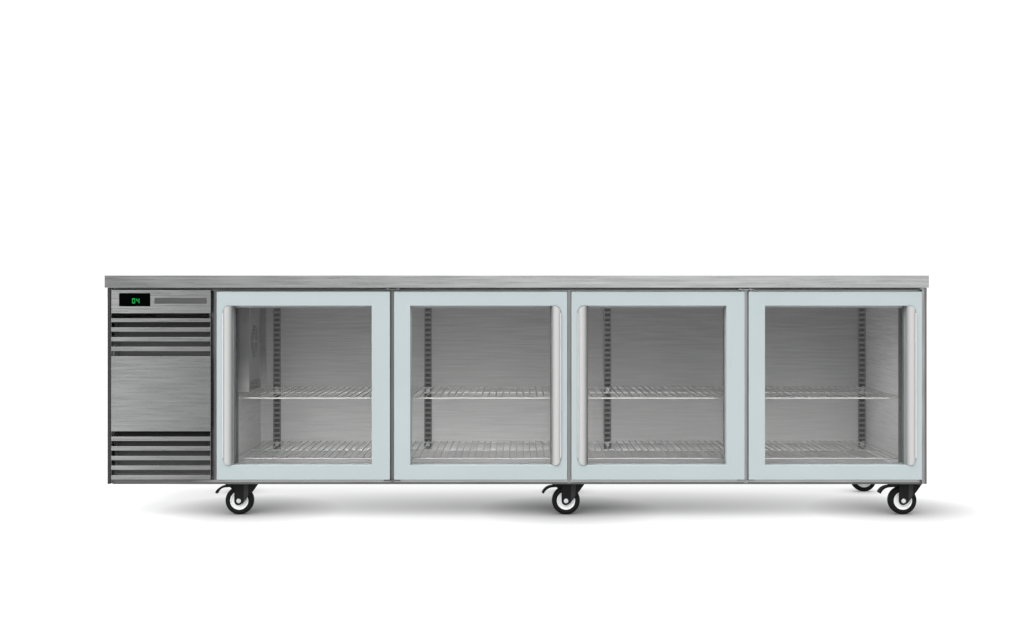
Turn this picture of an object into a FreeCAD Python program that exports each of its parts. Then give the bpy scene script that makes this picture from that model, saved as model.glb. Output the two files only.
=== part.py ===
import FreeCAD, Part
import math
import os

# Under counter fridge: a stainless steel body on six castors, four glass doors on the right
# and a machine bay on the left.
# Millimetres. +Z is up, +X is to the right and the doors face -Y.
# The origin is on the floor, under the middle of the worktop.

Vector = FreeCAD.Vector
X_AXIS = Vector(1, 0, 0)
Y_AXIS = Vector(0, 1, 0)
Z_AXIS = Vector(0, 0, 1)

# ---------------------------------------------------------------- driving dimensions
WORKTOP_WIDTH = 2890.0
WORKTOP_DEPTH = 700.0
WORKTOP_TOP = 850.0
WORKTOP_THICKNESS = 43.0
WORKTOP_SKIN = 1.5
WORKTOP_TOP_SKIN = 2.0
WORKTOP_EDGE_RADIUS = 3.0
PACKER_PLACES = [-292.0, -15.0, 290.0]
PACKER_WIDTH = 30.0

BODY_WIDTH = 2870.0
BODY_BOTTOM = 118.0
SKIRT_BOTTOM = 115.0
BODY_TOP = 800.0
BODY_BACK = 340.0
PANEL_FRONT = -330.0
SIDE_THICKNESS = 10.0
SHEET = 1.2
BASE_BOTTOM = 128.0
BASE_SHEET = 1.5

DOOR_COUNT = 4
DOOR_WIDTH = 608.25
DOOR_GAP = 14.5
FIRST_DOOR_LEFT = -1053.5
DOOR_BOTTOM = 132.5
DOOR_TOP = 793.5
DOOR_FRONT = -342.0
DOOR_BACK = -296.0
TOP_RAIL = 50.1
BOTTOM_RAIL = 51.2
RIGHT_HINGE_STILE = 64.0
LEFT_HINGE_STILE = 57.0
HANDLE_STILE = 21.0
HANDLE_WIDTH = 34.0
POCKET_FLOOR = -312.0
PANE = 4.0
PIVOT_INSET = 8.0
PIN_RADIUS = 3.0
PIN_CLEARANCE = 0.05
BRACKET_HALF = 29.0
BRACKET_SHEET = 2.5

FRAME_FRONT = -286.0
FRAME_BACK = -240.0
RIB_FRONT = -324.0
SILL_BACK = -320.0
MULLION_WIDTH = 60.0
RIB_WIDTH = 10.0
COVER_STRIP_WIDTH = 11.6
OPENING_BOTTOM = 160.0
OPENING_TOP = 758.0
FRAME_SHEET = 1.5

LINER_LEFT = -1021.0
LINER_RIGHT = 1393.0
LINER_BACK = 298.0
LINER_FLOOR = 158.5
LINER_CEILING = 760.0
LINER_SHEET = 0.8

BAY_RIGHT = -1073.0
BAY_FRONT = -338.0
GRILLE_LEFT = -1423.0
GRILLE_RIGHT = -1075.0
GRILLE_BOTTOM = 133.0
GRILLE_TOP = 715.0
GRILLE_DEPTH = 16.0
GRILLE_SHEET = 1.5
TOP_SLOT_HEIGHT = 13.3
LOUVRE_SLOT_HEIGHT = 18.5
LOUVRE_PITCH = 33.6
UPPER_LOUVRES_TOP = 687.0
UPPER_LOUVRES = 4
LOWER_LOUVRES_TOP = 303.5
LOWER_LOUVRES = 5
FASCIA_DEPTH = 22.0
DISPLAY_WINDOW = (-1393.0, -1286.0, 743.0, 786.0)
BADGE_STRIP = (-1272.5, -1089.5, 750.8, 771.8)

SHELF_LEVELS = [197.0, 414.0]
SHELF_FRONT = -228.0
SHELF_BACK = 286.0
WIRE_PITCH = 25.0
WIRE_RADIUS = 2.0
ROD_RADIUS = 3.0
BACK_STRIPS = [-956.0, -472.0, -354.0, 150.0, 361.0, 839.0, 905.0, 1375.0]
BACK_STRIP_WIDTH = 30.0
FRONT_STRIP_WIDTH = 20.0
STRIP_DEPTH = 6.0
STRIP_SHEET = 1.2
STRIP_SLOT_PITCH = 20.0
STRIP_SLOT_HEIGHT = 12.0

FRONT_AXLES = [-987.0, 175.0, 1373.0]
REAR_AXLES = [-1098.0, 194.0, 1373.0]
FRONT_ROW = -267.0
REAR_ROW = 267.0
CASTOR_TRAIL = 24.0
WHEEL_RADIUS = 50.0
WHEEL_WIDTH = 32.0
HUB_RADIUS = 32.5
BOSS_RADIUS = 12.0
AXLE_RADIUS = 6.0
KINGPIN_RADIUS = 6.0
RACE_RADIUS = 26.0
RUNNING_GAP = 0.05
LEG_INNER = 19.0
LEG_OUTER = 22.5
PLATE_HALF_X = 27.0
PLATE_HALF_Y = 50.0
PLATE_BOTTOM = 124.0
CROWN_BOTTOM = 111.0
CROWN_TOP = 117.0

BAY_FLOOR = BASE_BOTTOM + BASE_SHEET
CONDENSER_FAN_CENTRE = Vector(-1247.0, -222.0, 268.0)
CONDENSER_FAN_RADIUS = 96.0
EVAPORATOR_FAN_CENTRE = Vector(-985.0, -117.0, 610.0)
EVAPORATOR_FAN_RADIUS = 58.0


# ---------------------------------------------------------------- small helpers
def box(x0, x1, y0, y1, z0, z1):
    """A box between two opposite corners, given in any order along each axis."""
    low = Vector(min(x0, x1), min(y0, y1), min(z0, z1))
    return Part.makeBox(abs(x1 - x0), abs(y1 - y0), abs(z1 - z0), low)


def rod(start, axis, length, radius):
    return Part.makeCylinder(radius, length, Vector(*start), axis)


def fused(shapes):
    return shapes[0].multiFuse(shapes[1:]).removeSplitter()


def tube_box(outer, wall, open_axis):
    """A rectangular tube: the outer box with its inside taken out right through one axis."""
    bounds = outer.BoundBox
    inset = [0.0 if axis == open_axis else wall for axis in "XYZ"]
    inner = box(bounds.XMin + inset[0], bounds.XMax - inset[0],
                bounds.YMin + inset[1], bounds.YMax - inset[1],
                bounds.ZMin + inset[2], bounds.ZMax - inset[2])
    return outer.cut(inner)


def outline_prism(points, thickness_from, thickness_to):
    """A flat outline in X and Z, extruded along Y. Points are (x, z), or (via, end) for an arc."""
    edges = []
    here = Vector(points[0][0], thickness_from, points[0][1])
    start = here
    for point in points[1:]:
        if isinstance(point[0], tuple):
            via = Vector(point[0][0], thickness_from, point[0][1])
            end = Vector(point[1][0], thickness_from, point[1][1])
            edges.append(Part.Arc(here, via, end).toShape())
        else:
            end = Vector(point[0], thickness_from, point[1])
            edges.append(Part.makeLine(here, end))
        here = end
    edges.append(Part.makeLine(here, start))
    face = Part.Face(Part.Wire(edges))
    return face.extrude(Vector(0, thickness_to - thickness_from, 0))


def pipe(points, radius, bend):
    """A round pipe along straight runs joined by arcs of one bend radius."""
    corners = [Vector(*point) for point in points]
    edges = []
    here = corners[0]
    for before, corner, after in zip(corners, corners[1:], corners[2:]):
        inward = (before - corner).normalize()
        outward = (after - corner).normalize()
        half_angle = inward.getAngle(outward) / 2
        cut_back = bend / math.tan(half_angle)
        arc_start = corner + inward * cut_back
        arc_end = corner + outward * cut_back
        middle = (inward + outward).normalize()
        arc_middle = corner + middle * (bend / math.sin(half_angle) - bend)
        edges.append(Part.makeLine(here, arc_start))
        edges.append(Part.Arc(arc_start, arc_middle, arc_end).toShape())
        here = arc_end
    edges.append(Part.makeLine(here, corners[-1]))
    path = Part.Wire(edges)
    section = Part.Wire(Part.makeCircle(radius, corners[0], corners[1] - corners[0]))
    return path.makePipeShell([section], True, False)


# ---------------------------------------------------------------- worktop and body shell
def worktop():
    """A folded tray, open below, with softened top edges."""
    half_x = WORKTOP_WIDTH / 2
    half_y = WORKTOP_DEPTH / 2
    bottom = WORKTOP_TOP - WORKTOP_THICKNESS
    tray = box(-half_x, half_x, -half_y, half_y, bottom, WORKTOP_TOP)
    soft_edges = [edge for edge in tray.Edges if edge.BoundBox.ZMax > WORKTOP_TOP - 1e-6]
    tray = tray.makeFillet(WORKTOP_EDGE_RADIUS, soft_edges)
    inside = box(-half_x + WORKTOP_SKIN, half_x - WORKTOP_SKIN, -half_y + WORKTOP_SKIN,
                 half_y - WORKTOP_SKIN, bottom, WORKTOP_TOP - WORKTOP_TOP_SKIN)
    return [tray.cut(inside)]


def worktop_core():
    half_x = WORKTOP_WIDTH / 2 - WORKTOP_SKIN
    half_y = WORKTOP_DEPTH / 2 - WORKTOP_SKIN
    return box(-half_x, half_x, -half_y, half_y,
               WORKTOP_TOP - WORKTOP_THICKNESS, WORKTOP_TOP - WORKTOP_TOP_SKIN)


def top_deck():
    """The sheet that closes the body, and the tubular packers that carry the worktop."""
    inner = BODY_WIDTH / 2 - SIDE_THICKNESS
    outer = BODY_WIDTH / 2
    sheet = box(-inner, inner, RIB_FRONT, BODY_BACK - SHEET, BODY_TOP - SHEET, BODY_TOP)
    packer_top = WORKTOP_TOP - WORKTOP_THICKNESS
    packers = [tube_box(box(-outer, outer, y, y + PACKER_WIDTH, BODY_TOP, packer_top), SHEET, "X")
               for y in PACKER_PLACES]
    return [sheet] + packers


def side_panel(side):
    """One folded side skin with its edges turned inwards; side is -1 for left, 1 for right."""
    outer = side * BODY_WIDTH / 2
    inner = outer - side * SIDE_THICKNESS
    panel = box(inner, outer, PANEL_FRONT, BODY_BACK, BODY_BOTTOM, BODY_TOP)
    corner = [edge for edge in panel.Edges
              if edge.BoundBox.ZLength > 100
              and abs(edge.BoundBox.YMin - PANEL_FRONT) < 1e-6
              and abs(edge.BoundBox.XMin - outer) < 1e-6]
    corner_radius = 4.0
    panel = panel.makeFillet(corner_radius, corner)
    pocket = box(inner, outer - side * SHEET, PANEL_FRONT + corner_radius + 0.5, BODY_BACK - SHEET,
                 BODY_BOTTOM + SHEET, BODY_TOP - SHEET)
    return panel.cut(pocket)


def back_panel():
    """The rear skin, with air slots behind the machine bay."""
    inner = BODY_WIDTH / 2 - SIDE_THICKNESS
    panel = box(-inner, inner, BODY_BACK - SHEET, BODY_BACK, BODY_BOTTOM, BODY_TOP)
    columns, rows = 3, 16
    first_left, first_bottom = -1385.0, 200.0
    column_pitch, row_pitch = 98.0, 24.0
    slot_width, slot_height = 78.0, 8.0
    slots = []
    for column in range(columns):
        left = first_left + column * column_pitch
        for row in range(rows):
            bottom = first_bottom + row * row_pitch
            slots.append(box(left, left + slot_width, BODY_BACK - 5, BODY_BACK + 5,
                             bottom, bottom + slot_height))
    return [panel.cut(Part.makeCompound(slots))]


def base_panel():
    inner = BODY_WIDTH / 2 - SIDE_THICKNESS
    return [box(-inner, inner, SILL_BACK, BODY_BACK - SHEET, BASE_BOTTOM, BAY_FLOOR)]


# ---------------------------------------------------------------- face frame
def door_left(index):
    return FIRST_DOOR_LEFT + index * (DOOR_WIDTH + DOOR_GAP)


def mullion_centre(index):
    """The middle of the gap to the right of a door."""
    return door_left(index) + DOOR_WIDTH + DOOR_GAP / 2


def hinge_centres():
    """The two gaps where neighbouring doors turn on a shared bracket."""
    return [mullion_centre(0), mullion_centre(2)]


def box_post(x0, x1):
    outer = box(x0, x1, FRAME_FRONT, FRAME_BACK, OPENING_BOTTOM, OPENING_TOP)
    return tube_box(outer, FRAME_SHEET, "Z")


def stop_rib(x0, x1):
    """The strip that closes the gap beside a door."""
    return box(x0, x1, RIB_FRONT, FRAME_FRONT, DOOR_BOTTOM - 2, DOOR_TOP + 2)


def mullion_rib(centre):
    """A rib between two doors, with a cover strip that runs down over the sill."""
    rib = stop_rib(centre - RIB_WIDTH / 2, centre + RIB_WIDTH / 2)
    half = COVER_STRIP_WIDTH / 2
    strip = box(centre - half, centre + half, RIB_FRONT - 1.5, RIB_FRONT,
                SKIRT_BOTTOM + 4, DOOR_TOP + 2)
    return fused([rib, strip])


def bay_rib():
    """The rib left of the first door, with a flange behind the grille that closes the bay."""
    rib_left = -1066.0
    rib = stop_rib(rib_left, FIRST_DOOR_LEFT - 2.3)
    flange_left, flange_front = -1089.0, -302.0
    flange = box(flange_left, rib_left, flange_front, flange_front + SHEET,
                 DOOR_BOTTOM - 2, DOOR_TOP + 2)
    return fused([rib, flange])


def header():
    """The front rail above the doors: an angle with its lower flange over the opening."""
    right = BODY_WIDTH / 2 - SIDE_THICKNESS
    top = BODY_TOP - SHEET
    face = box(BAY_RIGHT, right, FRAME_FRONT, FRAME_FRONT + FRAME_SHEET, OPENING_TOP, top)
    flange = box(BAY_RIGHT, right, FRAME_FRONT, FRAME_BACK, OPENING_TOP, OPENING_TOP + FRAME_SHEET)
    rib = box(BAY_RIGHT, right, RIB_FRONT, FRAME_FRONT, DOOR_TOP + 2, top)
    return fused([face, flange, rib])


def sill():
    """The front rail below the doors: a skirt with a bevelled toe, a shelf and the seal face."""
    right = BODY_WIDTH / 2 - SIDE_THICKNESS
    face = box(BAY_RIGHT, right, FRAME_FRONT, FRAME_FRONT + FRAME_SHEET,
               BAY_FLOOR, OPENING_BOTTOM)
    flange = box(BAY_RIGHT, right, FRAME_FRONT, FRAME_BACK,
                 OPENING_BOTTOM - FRAME_SHEET, OPENING_BOTTOM)
    skirt = box(-right, right, RIB_FRONT, SILL_BACK, SKIRT_BOTTOM, DOOR_BOTTOM - 2)
    toe = [edge for edge in skirt.Edges
           if edge.BoundBox.XLength > 1000
           and abs(edge.BoundBox.YMax - RIB_FRONT) < 1e-6
           and abs(edge.BoundBox.ZMax - SKIRT_BOTTOM) < 1e-6]
    skirt = skirt.makeChamfer(3.0, toe)
    shelf = box(BAY_RIGHT, right, SILL_BACK, FRAME_FRONT, BAY_FLOOR, DOOR_BOTTOM - 2)
    notches = [lower_bracket_plate(centre) for centre in hinge_centres()]
    return fused([face, flange, skirt, shelf]).cut(Part.makeCompound(notches))


def face_frame():
    """Header, sill, five posts and the ribs that show between the doors."""
    half = MULLION_WIDTH / 2
    right = BODY_WIDTH / 2 - SIDE_THICKNESS
    posts = [box_post(BAY_RIGHT, -998.0), box_post(1368.0, right)]
    ribs = [bay_rib()]
    for index in range(DOOR_COUNT - 1):
        centre = mullion_centre(index)
        posts.append(box_post(centre - half, centre + half))
        ribs.append(mullion_rib(centre))
    return [header(), sill()] + posts + ribs


# ---------------------------------------------------------------- insulated box
def inner_liner():
    """The stainless inside of the cold space, open at the front."""
    sheet = LINER_SHEET
    outer = box(LINER_LEFT - sheet, LINER_RIGHT + sheet, FRAME_BACK, LINER_BACK + sheet,
                LINER_FLOOR - sheet, LINER_CEILING + sheet)
    inner = box(LINER_LEFT, LINER_RIGHT, FRAME_BACK, LINER_BACK, LINER_FLOOR, LINER_CEILING)
    return [outer.cut(inner)]


def insulation():
    """Foam slabs round the liner, and the infill of the worktop."""
    sheet = LINER_SHEET
    right = BODY_WIDTH / 2 - SIDE_THICKNESS
    front = FRAME_FRONT + FRAME_SHEET
    back = BODY_BACK - SHEET
    low = LINER_FLOOR - sheet
    high = LINER_CEILING + sheet
    floor_slab = box(BAY_RIGHT, right, front, back, BASE_BOTTOM + BASE_SHEET, low)
    ceiling_slab = box(BAY_RIGHT, right, front, back, high, BODY_TOP - SHEET)
    left_slab = box(BAY_RIGHT, LINER_LEFT - sheet, FRAME_BACK, back, low, high)
    right_slab = box(LINER_RIGHT + sheet, right, FRAME_BACK, back, low, high)
    back_slab = box(LINER_LEFT - sheet, LINER_RIGHT + sheet, LINER_BACK + sheet, back, low, high)
    return [floor_slab, ceiling_slab, left_slab, right_slab, back_slab, worktop_core()]


# ---------------------------------------------------------------- shelves
def slotted_strip(x_middle, width, y_wall, depth_direction):
    """A shallow channel with a ladder of slots; it projects from the wall at y_wall."""
    project = STRIP_DEPTH * depth_direction
    wall = STRIP_SHEET * depth_direction
    low = LINER_FLOOR + 4
    high = LINER_CEILING - 4
    half = width / 2
    inner_half = half - STRIP_SHEET
    slot_half = half - 4
    channel = box(x_middle - half, x_middle + half, y_wall, y_wall + project, low, high)
    hollow = box(x_middle - inner_half, x_middle + inner_half, y_wall, y_wall + project - wall,
                 low, high)
    count = int((high - low - STRIP_SLOT_PITCH) / STRIP_SLOT_PITCH)
    first = low + STRIP_SLOT_PITCH / 2
    slots = [box(x_middle - slot_half, x_middle + slot_half, y_wall, y_wall + 2 * project,
                 first + STRIP_SLOT_PITCH * step,
                 first + STRIP_SLOT_PITCH * step + STRIP_SLOT_HEIGHT)
             for step in range(count)]
    return channel.cut(hollow).cut(Part.makeCompound(slots))


def front_strip_places():
    """Strips behind the posts, two behind each mullion and one behind each end post."""
    from_wall, from_centre = 11.5, 17.0
    places = [LINER_LEFT + from_wall]
    for index in range(DOOR_COUNT - 1):
        places += [mullion_centre(index) - from_centre, mullion_centre(index) + from_centre]
    return places + [LINER_RIGHT - from_wall]


def shelf_strips():
    rear = [slotted_strip(x, BACK_STRIP_WIDTH, LINER_BACK, -1) for x in BACK_STRIPS]
    front = [slotted_strip(x, FRONT_STRIP_WIDTH, FRAME_BACK, 1) for x in front_strip_places()]
    return rear + front


def clip(x_middle, y_face, depth_direction, shelf_level):
    """An angle that hooks on a strip and carries a shelf's end rod."""
    seat = shelf_level - WIRE_RADIUS - 2 * ROD_RADIUS + 0.5
    half, reach, thickness = 7.0, 14.0, 1.6
    upright = box(x_middle - half, x_middle + half, y_face, y_face + thickness * depth_direction,
                  seat - reach, seat)
    ledge = box(x_middle - half, x_middle + half, y_face, y_face + reach * depth_direction,
                seat - thickness, seat)
    return fused([upright, ledge])


def shelf_clips():
    clips = []
    for level in SHELF_LEVELS:
        clips += [clip(x, LINER_BACK - STRIP_DEPTH, -1, level) for x in BACK_STRIPS]
        clips += [clip(x, FRAME_BACK + STRIP_DEPTH, 1, level) for x in front_strip_places()]
    return clips


def shelf_spans():
    """The left and right end of the shelf in each bay."""
    edges = [LINER_LEFT] + [mullion_centre(index) for index in range(3)] + [LINER_RIGHT]
    end_gap = 5.0
    return [(left + end_gap, right - end_gap) for left, right in zip(edges, edges[1:])]


def wire_shelf(left, right, level):
    """Wires from front to back, welded on cross rods, with a rod along each end."""
    length = SHELF_BACK - SHELF_FRONT
    rod_level = level - WIRE_RADIUS - ROD_RADIUS + 0.5
    end_rod_inset = 6.0
    rods = [rod((left, y, rod_level), X_AXIS, right - left, ROD_RADIUS)
            for y in (SHELF_FRONT + end_rod_inset, SHELF_FRONT + length / 2,
                      SHELF_BACK - end_rod_inset)]
    count = int((right - left - 2 * end_rod_inset) / WIRE_PITCH)
    first = (left + right) / 2 - count * WIRE_PITCH / 2
    wires = [rod((first + step * WIRE_PITCH, SHELF_FRONT, level), Y_AXIS, length, WIRE_RADIUS)
             for step in range(count + 1)]
    return rods[0].multiFuse(rods[1:] + wires)


def wire_shelves():
    return [wire_shelf(left, right, level)
            for level in SHELF_LEVELS for left, right in shelf_spans()]


# ---------------------------------------------------------------- doors
def door_side(index):
    """The X of the handle edge, and the direction from there to the hinge edge."""
    if index % 2 == 0:
        return door_left(index), 1
    return door_left(index) + DOOR_WIDTH, -1


def door_box(index, u0, u1, y0, y1, z0, z1):
    """A box on a door; u runs from the handle edge to the hinge edge."""
    edge, toward_hinge = door_side(index)
    return box(edge + toward_hinge * u0, edge + toward_hinge * u1, y0, y1, z0, z1)


def pivot(index):
    """The X and Y of a door's vertical pivot."""
    edge, toward_hinge = door_side(index)
    return edge + toward_hinge * (DOOR_WIDTH - PIVOT_INSET), DOOR_FRONT + PIVOT_INSET


def window_limits(index):
    """The glass, from the handle side to the hinge side and from the bottom to the top."""
    hinge_stile = RIGHT_HINGE_STILE if index % 2 == 0 else LEFT_HINGE_STILE
    bottom = DOOR_BOTTOM + BOTTOM_RAIL
    top = DOOR_TOP - TOP_RAIL
    return HANDLE_STILE + HANDLE_WIDTH, DOOR_WIDTH - hinge_stile, bottom, top


def door_frame(index):
    """Two rails, two stiles and the floor of the handle pocket, with the pivot holes."""
    u0, u1, bottom, top = window_limits(index)
    pivot_x, pivot_y = pivot(index)
    hole_radius = PIN_RADIUS + PIN_CLEARANCE
    hole_depth = 22.0
    lower_hole = rod((pivot_x, pivot_y, DOOR_BOTTOM - 1), Z_AXIS, hole_depth + 1, hole_radius)
    upper_hole = rod((pivot_x, pivot_y, DOOR_TOP - hole_depth), Z_AXIS, hole_depth + 1, hole_radius)
    top_rail = door_box(index, 0, DOOR_WIDTH, DOOR_FRONT, DOOR_BACK, top, DOOR_TOP)
    bottom_rail = door_box(index, 0, DOOR_WIDTH, DOOR_FRONT, DOOR_BACK, DOOR_BOTTOM, bottom)
    hinge_stile = door_box(index, u1, DOOR_WIDTH, DOOR_FRONT, DOOR_BACK, bottom, top)
    handle_stile = door_box(index, 0, HANDLE_STILE, DOOR_FRONT, DOOR_BACK, bottom, top)
    pocket_floor = door_box(index, HANDLE_STILE, u0, POCKET_FLOOR, DOOR_BACK, bottom, top)
    return [top_rail.cut(upper_hole), bottom_rail.cut(lower_hole),
            hinge_stile, handle_stile, pocket_floor]


def door_glass(index):
    """Two panes held apart by a spacer frame."""
    u0, u1, bottom, top = window_limits(index)
    outer = door_box(index, u0, u1, POCKET_FLOOR + PANE, DOOR_BACK - PANE, bottom, top)
    front = door_box(index, u0, u1, POCKET_FLOOR, POCKET_FLOOR + PANE, bottom, top)
    rear = door_box(index, u0, u1, DOOR_BACK - PANE, DOOR_BACK, bottom, top)
    spacer_width = 10.0
    return [front, tube_box(outer, spacer_width, "Y"), rear]


def door_gasket(index):
    """Four magnetic seal strips round the back of the door."""
    inset = 12.0
    width = 14.0
    front = DOOR_BACK
    back = FRAME_FRONT - 0.3
    low = DOOR_BOTTOM + inset
    high = DOOR_TOP - inset
    far = DOOR_WIDTH - inset
    return [door_box(index, inset, far, front, back, high - width, high),
            door_box(index, inset, far, front, back, low, low + width),
            door_box(index, inset, inset + width, front, back, low + width, high - width),
            door_box(index, far - width, far, front, back, low + width, high - width)]


def door_handle(index):
    """A full-height pull: a curved shell that hooks over towards the glass."""
    edge, toward_hinge = door_side(index)
    u0, _, bottom, top = window_limits(index)
    low = bottom + 0.5
    high = top - 0.5

    def at(u, y, z=low):
        return Vector(edge + toward_hinge * u, y, z)

    leg_floor = POCKET_FLOOR
    wall = 3.0
    leg = HANDLE_STILE + 0.3
    crest_u, crest = leg + 11.7, DOOR_FRONT - 6.0
    shoulder = DOOR_FRONT + 1.0
    lip = DOOR_FRONT + 8.0
    inner_lip = lip + 2.8
    outline = [
        Part.makeLine(at(leg, leg_floor), at(leg, shoulder)),
        Part.Arc(at(leg, shoulder), at(crest_u, crest), at(u0, lip)).toShape(),
        Part.makeLine(at(u0, lip), at(u0 - 1, inner_lip)),
        Part.Arc(at(u0 - 1, inner_lip), at(crest_u + 1, crest + wall),
                 at(leg + wall, shoulder + wall)).toShape(),
        Part.makeLine(at(leg + wall, shoulder + wall), at(leg + wall, leg_floor)),
        Part.makeLine(at(leg + wall, leg_floor), at(leg, leg_floor)),
    ]
    shell = Part.Face(Part.Wire(outline)).extrude(Vector(0, 0, high - low))
    return [shell]


def lower_bracket_plate(centre):
    """The plate of a lower hinge bracket, let into the skirt from above."""
    top = DOOR_BOTTOM - 2
    plate = box(centre - BRACKET_HALF, centre + BRACKET_HALF, DOOR_FRONT + 1, SILL_BACK,
                top - BRACKET_SHEET, top)
    slot = box(centre - COVER_STRIP_WIDTH / 2, centre + COVER_STRIP_WIDTH / 2,
               RIB_FRONT - 1.5, RIB_FRONT, top - 3, top + 1)
    return plate.cut(slot)


def hinge_brackets():
    """Above and below each hinge gap: one plate with a pin for each of the two doors."""
    brackets = []
    for left_door, centre in zip((0, 2), hinge_centres()):
        pins_at = [pivot(left_door), pivot(left_door + 1)]
        plate_top = DOOR_BOTTOM - 2
        pin_reach = 18.5
        lower_pins = [rod((x, y, plate_top - 1), Z_AXIS, pin_reach + 3.5, PIN_RADIUS)
                      for x, y in pins_at]
        upper_plate = box(centre - BRACKET_HALF, centre + BRACKET_HALF, DOOR_FRONT + 1, DOOR_BACK,
                          BODY_TOP, BODY_TOP + BRACKET_SHEET)
        upper_pins = [rod((x, y, DOOR_TOP - pin_reach), Z_AXIS, pin_reach + 7.5, PIN_RADIUS)
                      for x, y in pins_at]
        brackets.append(fused([lower_bracket_plate(centre)] + lower_pins))
        brackets.append(fused([upper_plate] + upper_pins))
    return brackets


# ---------------------------------------------------------------- machine bay front
def control_fascia():
    """The folded panel above the grille, with a window for the display."""
    low = GRILLE_TOP + 2
    high = BODY_TOP - SHEET - 0.3
    back = BAY_FRONT + FASCIA_DEPTH
    outer = box(GRILLE_LEFT, GRILLE_RIGHT, BAY_FRONT, back, low, high)
    inner = box(GRILLE_LEFT + SHEET, GRILLE_RIGHT - SHEET, BAY_FRONT + SHEET, back,
                low + SHEET, high - SHEET)
    left, right, bottom, top = DISPLAY_WINDOW
    window = box(left, right, BAY_FRONT - 1, BAY_FRONT + 5, bottom, top)
    return [outer.cut(inner).cut(window)]


def display_module():
    """The display: a black window set in the fascia and its housing behind."""
    left, right, bottom, top = DISPLAY_WINDOW
    gap, rim = 0.3, 5.0
    front, housing_front = BAY_FRONT - 0.8, BAY_FRONT + SHEET
    window = box(left + gap, right - gap, front, housing_front, bottom + gap, top - gap)
    housing = box(left - rim, right + rim, housing_front, BAY_FRONT + FASCIA_DEPTH - 2,
                  bottom - rim, top + rim)
    return [fused([window, housing])]


def badge_strip():
    left, right, bottom, top = BADGE_STRIP
    return [box(left, right, BAY_FRONT - SHEET, BAY_FRONT, bottom, top)]


def louvre_slots():
    """The bottom and top of each slot: one under the fascia, then two even banks."""
    slots = [(GRILLE_TOP - TOP_SLOT_HEIGHT, GRILLE_TOP - 0.8)]
    for bank_top, count in ((UPPER_LOUVRES_TOP, UPPER_LOUVRES), (LOWER_LOUVRES_TOP, LOWER_LOUVRES)):
        for index in range(count):
            top = bank_top - index * LOUVRE_PITCH
            slots.append((top - LOUVRE_SLOT_HEIGHT, top))
    return slots


def front_grille():
    """The lift-off panel of the machine bay: louvres, a plain field, and louvres again."""
    back = BAY_FRONT + GRILLE_DEPTH
    outer = box(GRILLE_LEFT, GRILLE_RIGHT, BAY_FRONT, back, GRILLE_BOTTOM, GRILLE_TOP)
    inner = box(GRILLE_LEFT + GRILLE_SHEET, GRILLE_RIGHT - GRILLE_SHEET,
                BAY_FRONT + GRILLE_SHEET, back, GRILLE_BOTTOM, GRILLE_TOP)
    margin = 2.0
    slots = [box(GRILLE_LEFT + margin, GRILLE_RIGHT - margin,
                 BAY_FRONT - 1, BAY_FRONT + GRILLE_SHEET, low, high)
             for low, high in louvre_slots()]
    return [outer.cut(inner).cut(Part.makeCompound(slots))]


def air_filter():
    """A framed flat filter behind the grille."""
    side_gap = 4.0
    left, right = GRILLE_LEFT + side_gap, GRILLE_RIGHT - side_gap
    bottom, top = 140.0, 700.0
    front, back = -316.0, -304.0
    rim = 12.0
    mesh_front, mesh_back = -311.0, -309.0
    frame = tube_box(box(left, right, front, back, bottom, top), rim, "Y")
    mesh = box(left + rim, right - rim, mesh_front, mesh_back, bottom + rim, top - rim)
    return [frame, mesh]


# ---------------------------------------------------------------- refrigeration unit
def unit_tray():
    """The tray that the unit stands on, and the lining sheet beside the cold space."""
    left, right = -1415.0, -1076.0
    front, back = -296.0, 320.0
    rim, sheet = 12.0, 1.5
    lining_top = 780.0
    tray = box(left, right, front, back, BAY_FLOOR, BAY_FLOOR + rim)
    hollow = box(left + sheet, right - sheet, front + sheet, back - sheet,
                 BAY_FLOOR + sheet, BAY_FLOOR + rim)
    lining = box(right, right + sheet, front, back, BAY_FLOOR, lining_top)
    return [tray.cut(hollow), lining]


def compressor():
    """A hermetic pot on four feet."""
    x, y = -1250.0, 150.0
    foot_level = BAY_FLOOR + 1.5
    foot_height, foot_radius = 14.0, 10.0
    plate_top = foot_level + foot_height + 4
    pot_radius, pot_height, dome = 68.0, 160.0, 28.0
    pot = rod((x, y, plate_top), Z_AXIS, pot_height, pot_radius)
    pot = pot.makeFillet(dome, pot.Edges[:1] + pot.Edges[2:])
    foot_plate = box(x - 75, x + 75, y - 60, y + 60, foot_level + foot_height, plate_top)
    feet = [rod((x + dx, y + dy, foot_level), Z_AXIS, foot_height, foot_radius)
            for dx in (-60, 60) for dy in (-45, 45)]
    terminal_box = box(x + 60, x + 92, y - 25, y + 25, foot_level + 70, foot_level + 120)
    return [fused([pot, foot_plate, terminal_box] + feet)]


def finned_coil(length, columns, rows, spacing, fin_pitch):
    """Tubes along X through upright fins, with return bends at both ends, about the origin."""
    tube_radius = 4.0
    fin = box(0, 1.0, 0, columns * spacing, 0, rows * spacing)
    centres = [((column + 0.5) * spacing, (row + 0.5) * spacing)
               for column in range(columns) for row in range(rows)]
    holes = [rod((-1, y, z), X_AXIS, 4, tube_radius) for y, z in centres]
    fin = fin.cut(Part.makeCompound(holes))
    fins = [fin.translated(Vector(place * fin_pitch, 0, 0))
            for place in range(int(length / fin_pitch) + 1)]
    tubes = [rod((-6, y, z), X_AXIS, length + 12, tube_radius) for y, z in centres]
    bends = []
    for column in range(columns):
        y = (column + 0.5) * spacing
        for row in range(rows - 1):
            at_right = row % 2 == 0
            x = length + 6 if at_right else -6
            low = Vector(x, y, (row + 0.5) * spacing)
            centre = low + Vector(0, 0, spacing / 2)
            ring = Part.Face(Part.Wire(Part.makeCircle(tube_radius, low, X_AXIS)))
            bends.append(ring.revolve(centre, Y_AXIS if at_right else -Y_AXIS, -180))
    return fins + tubes + bends


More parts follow.
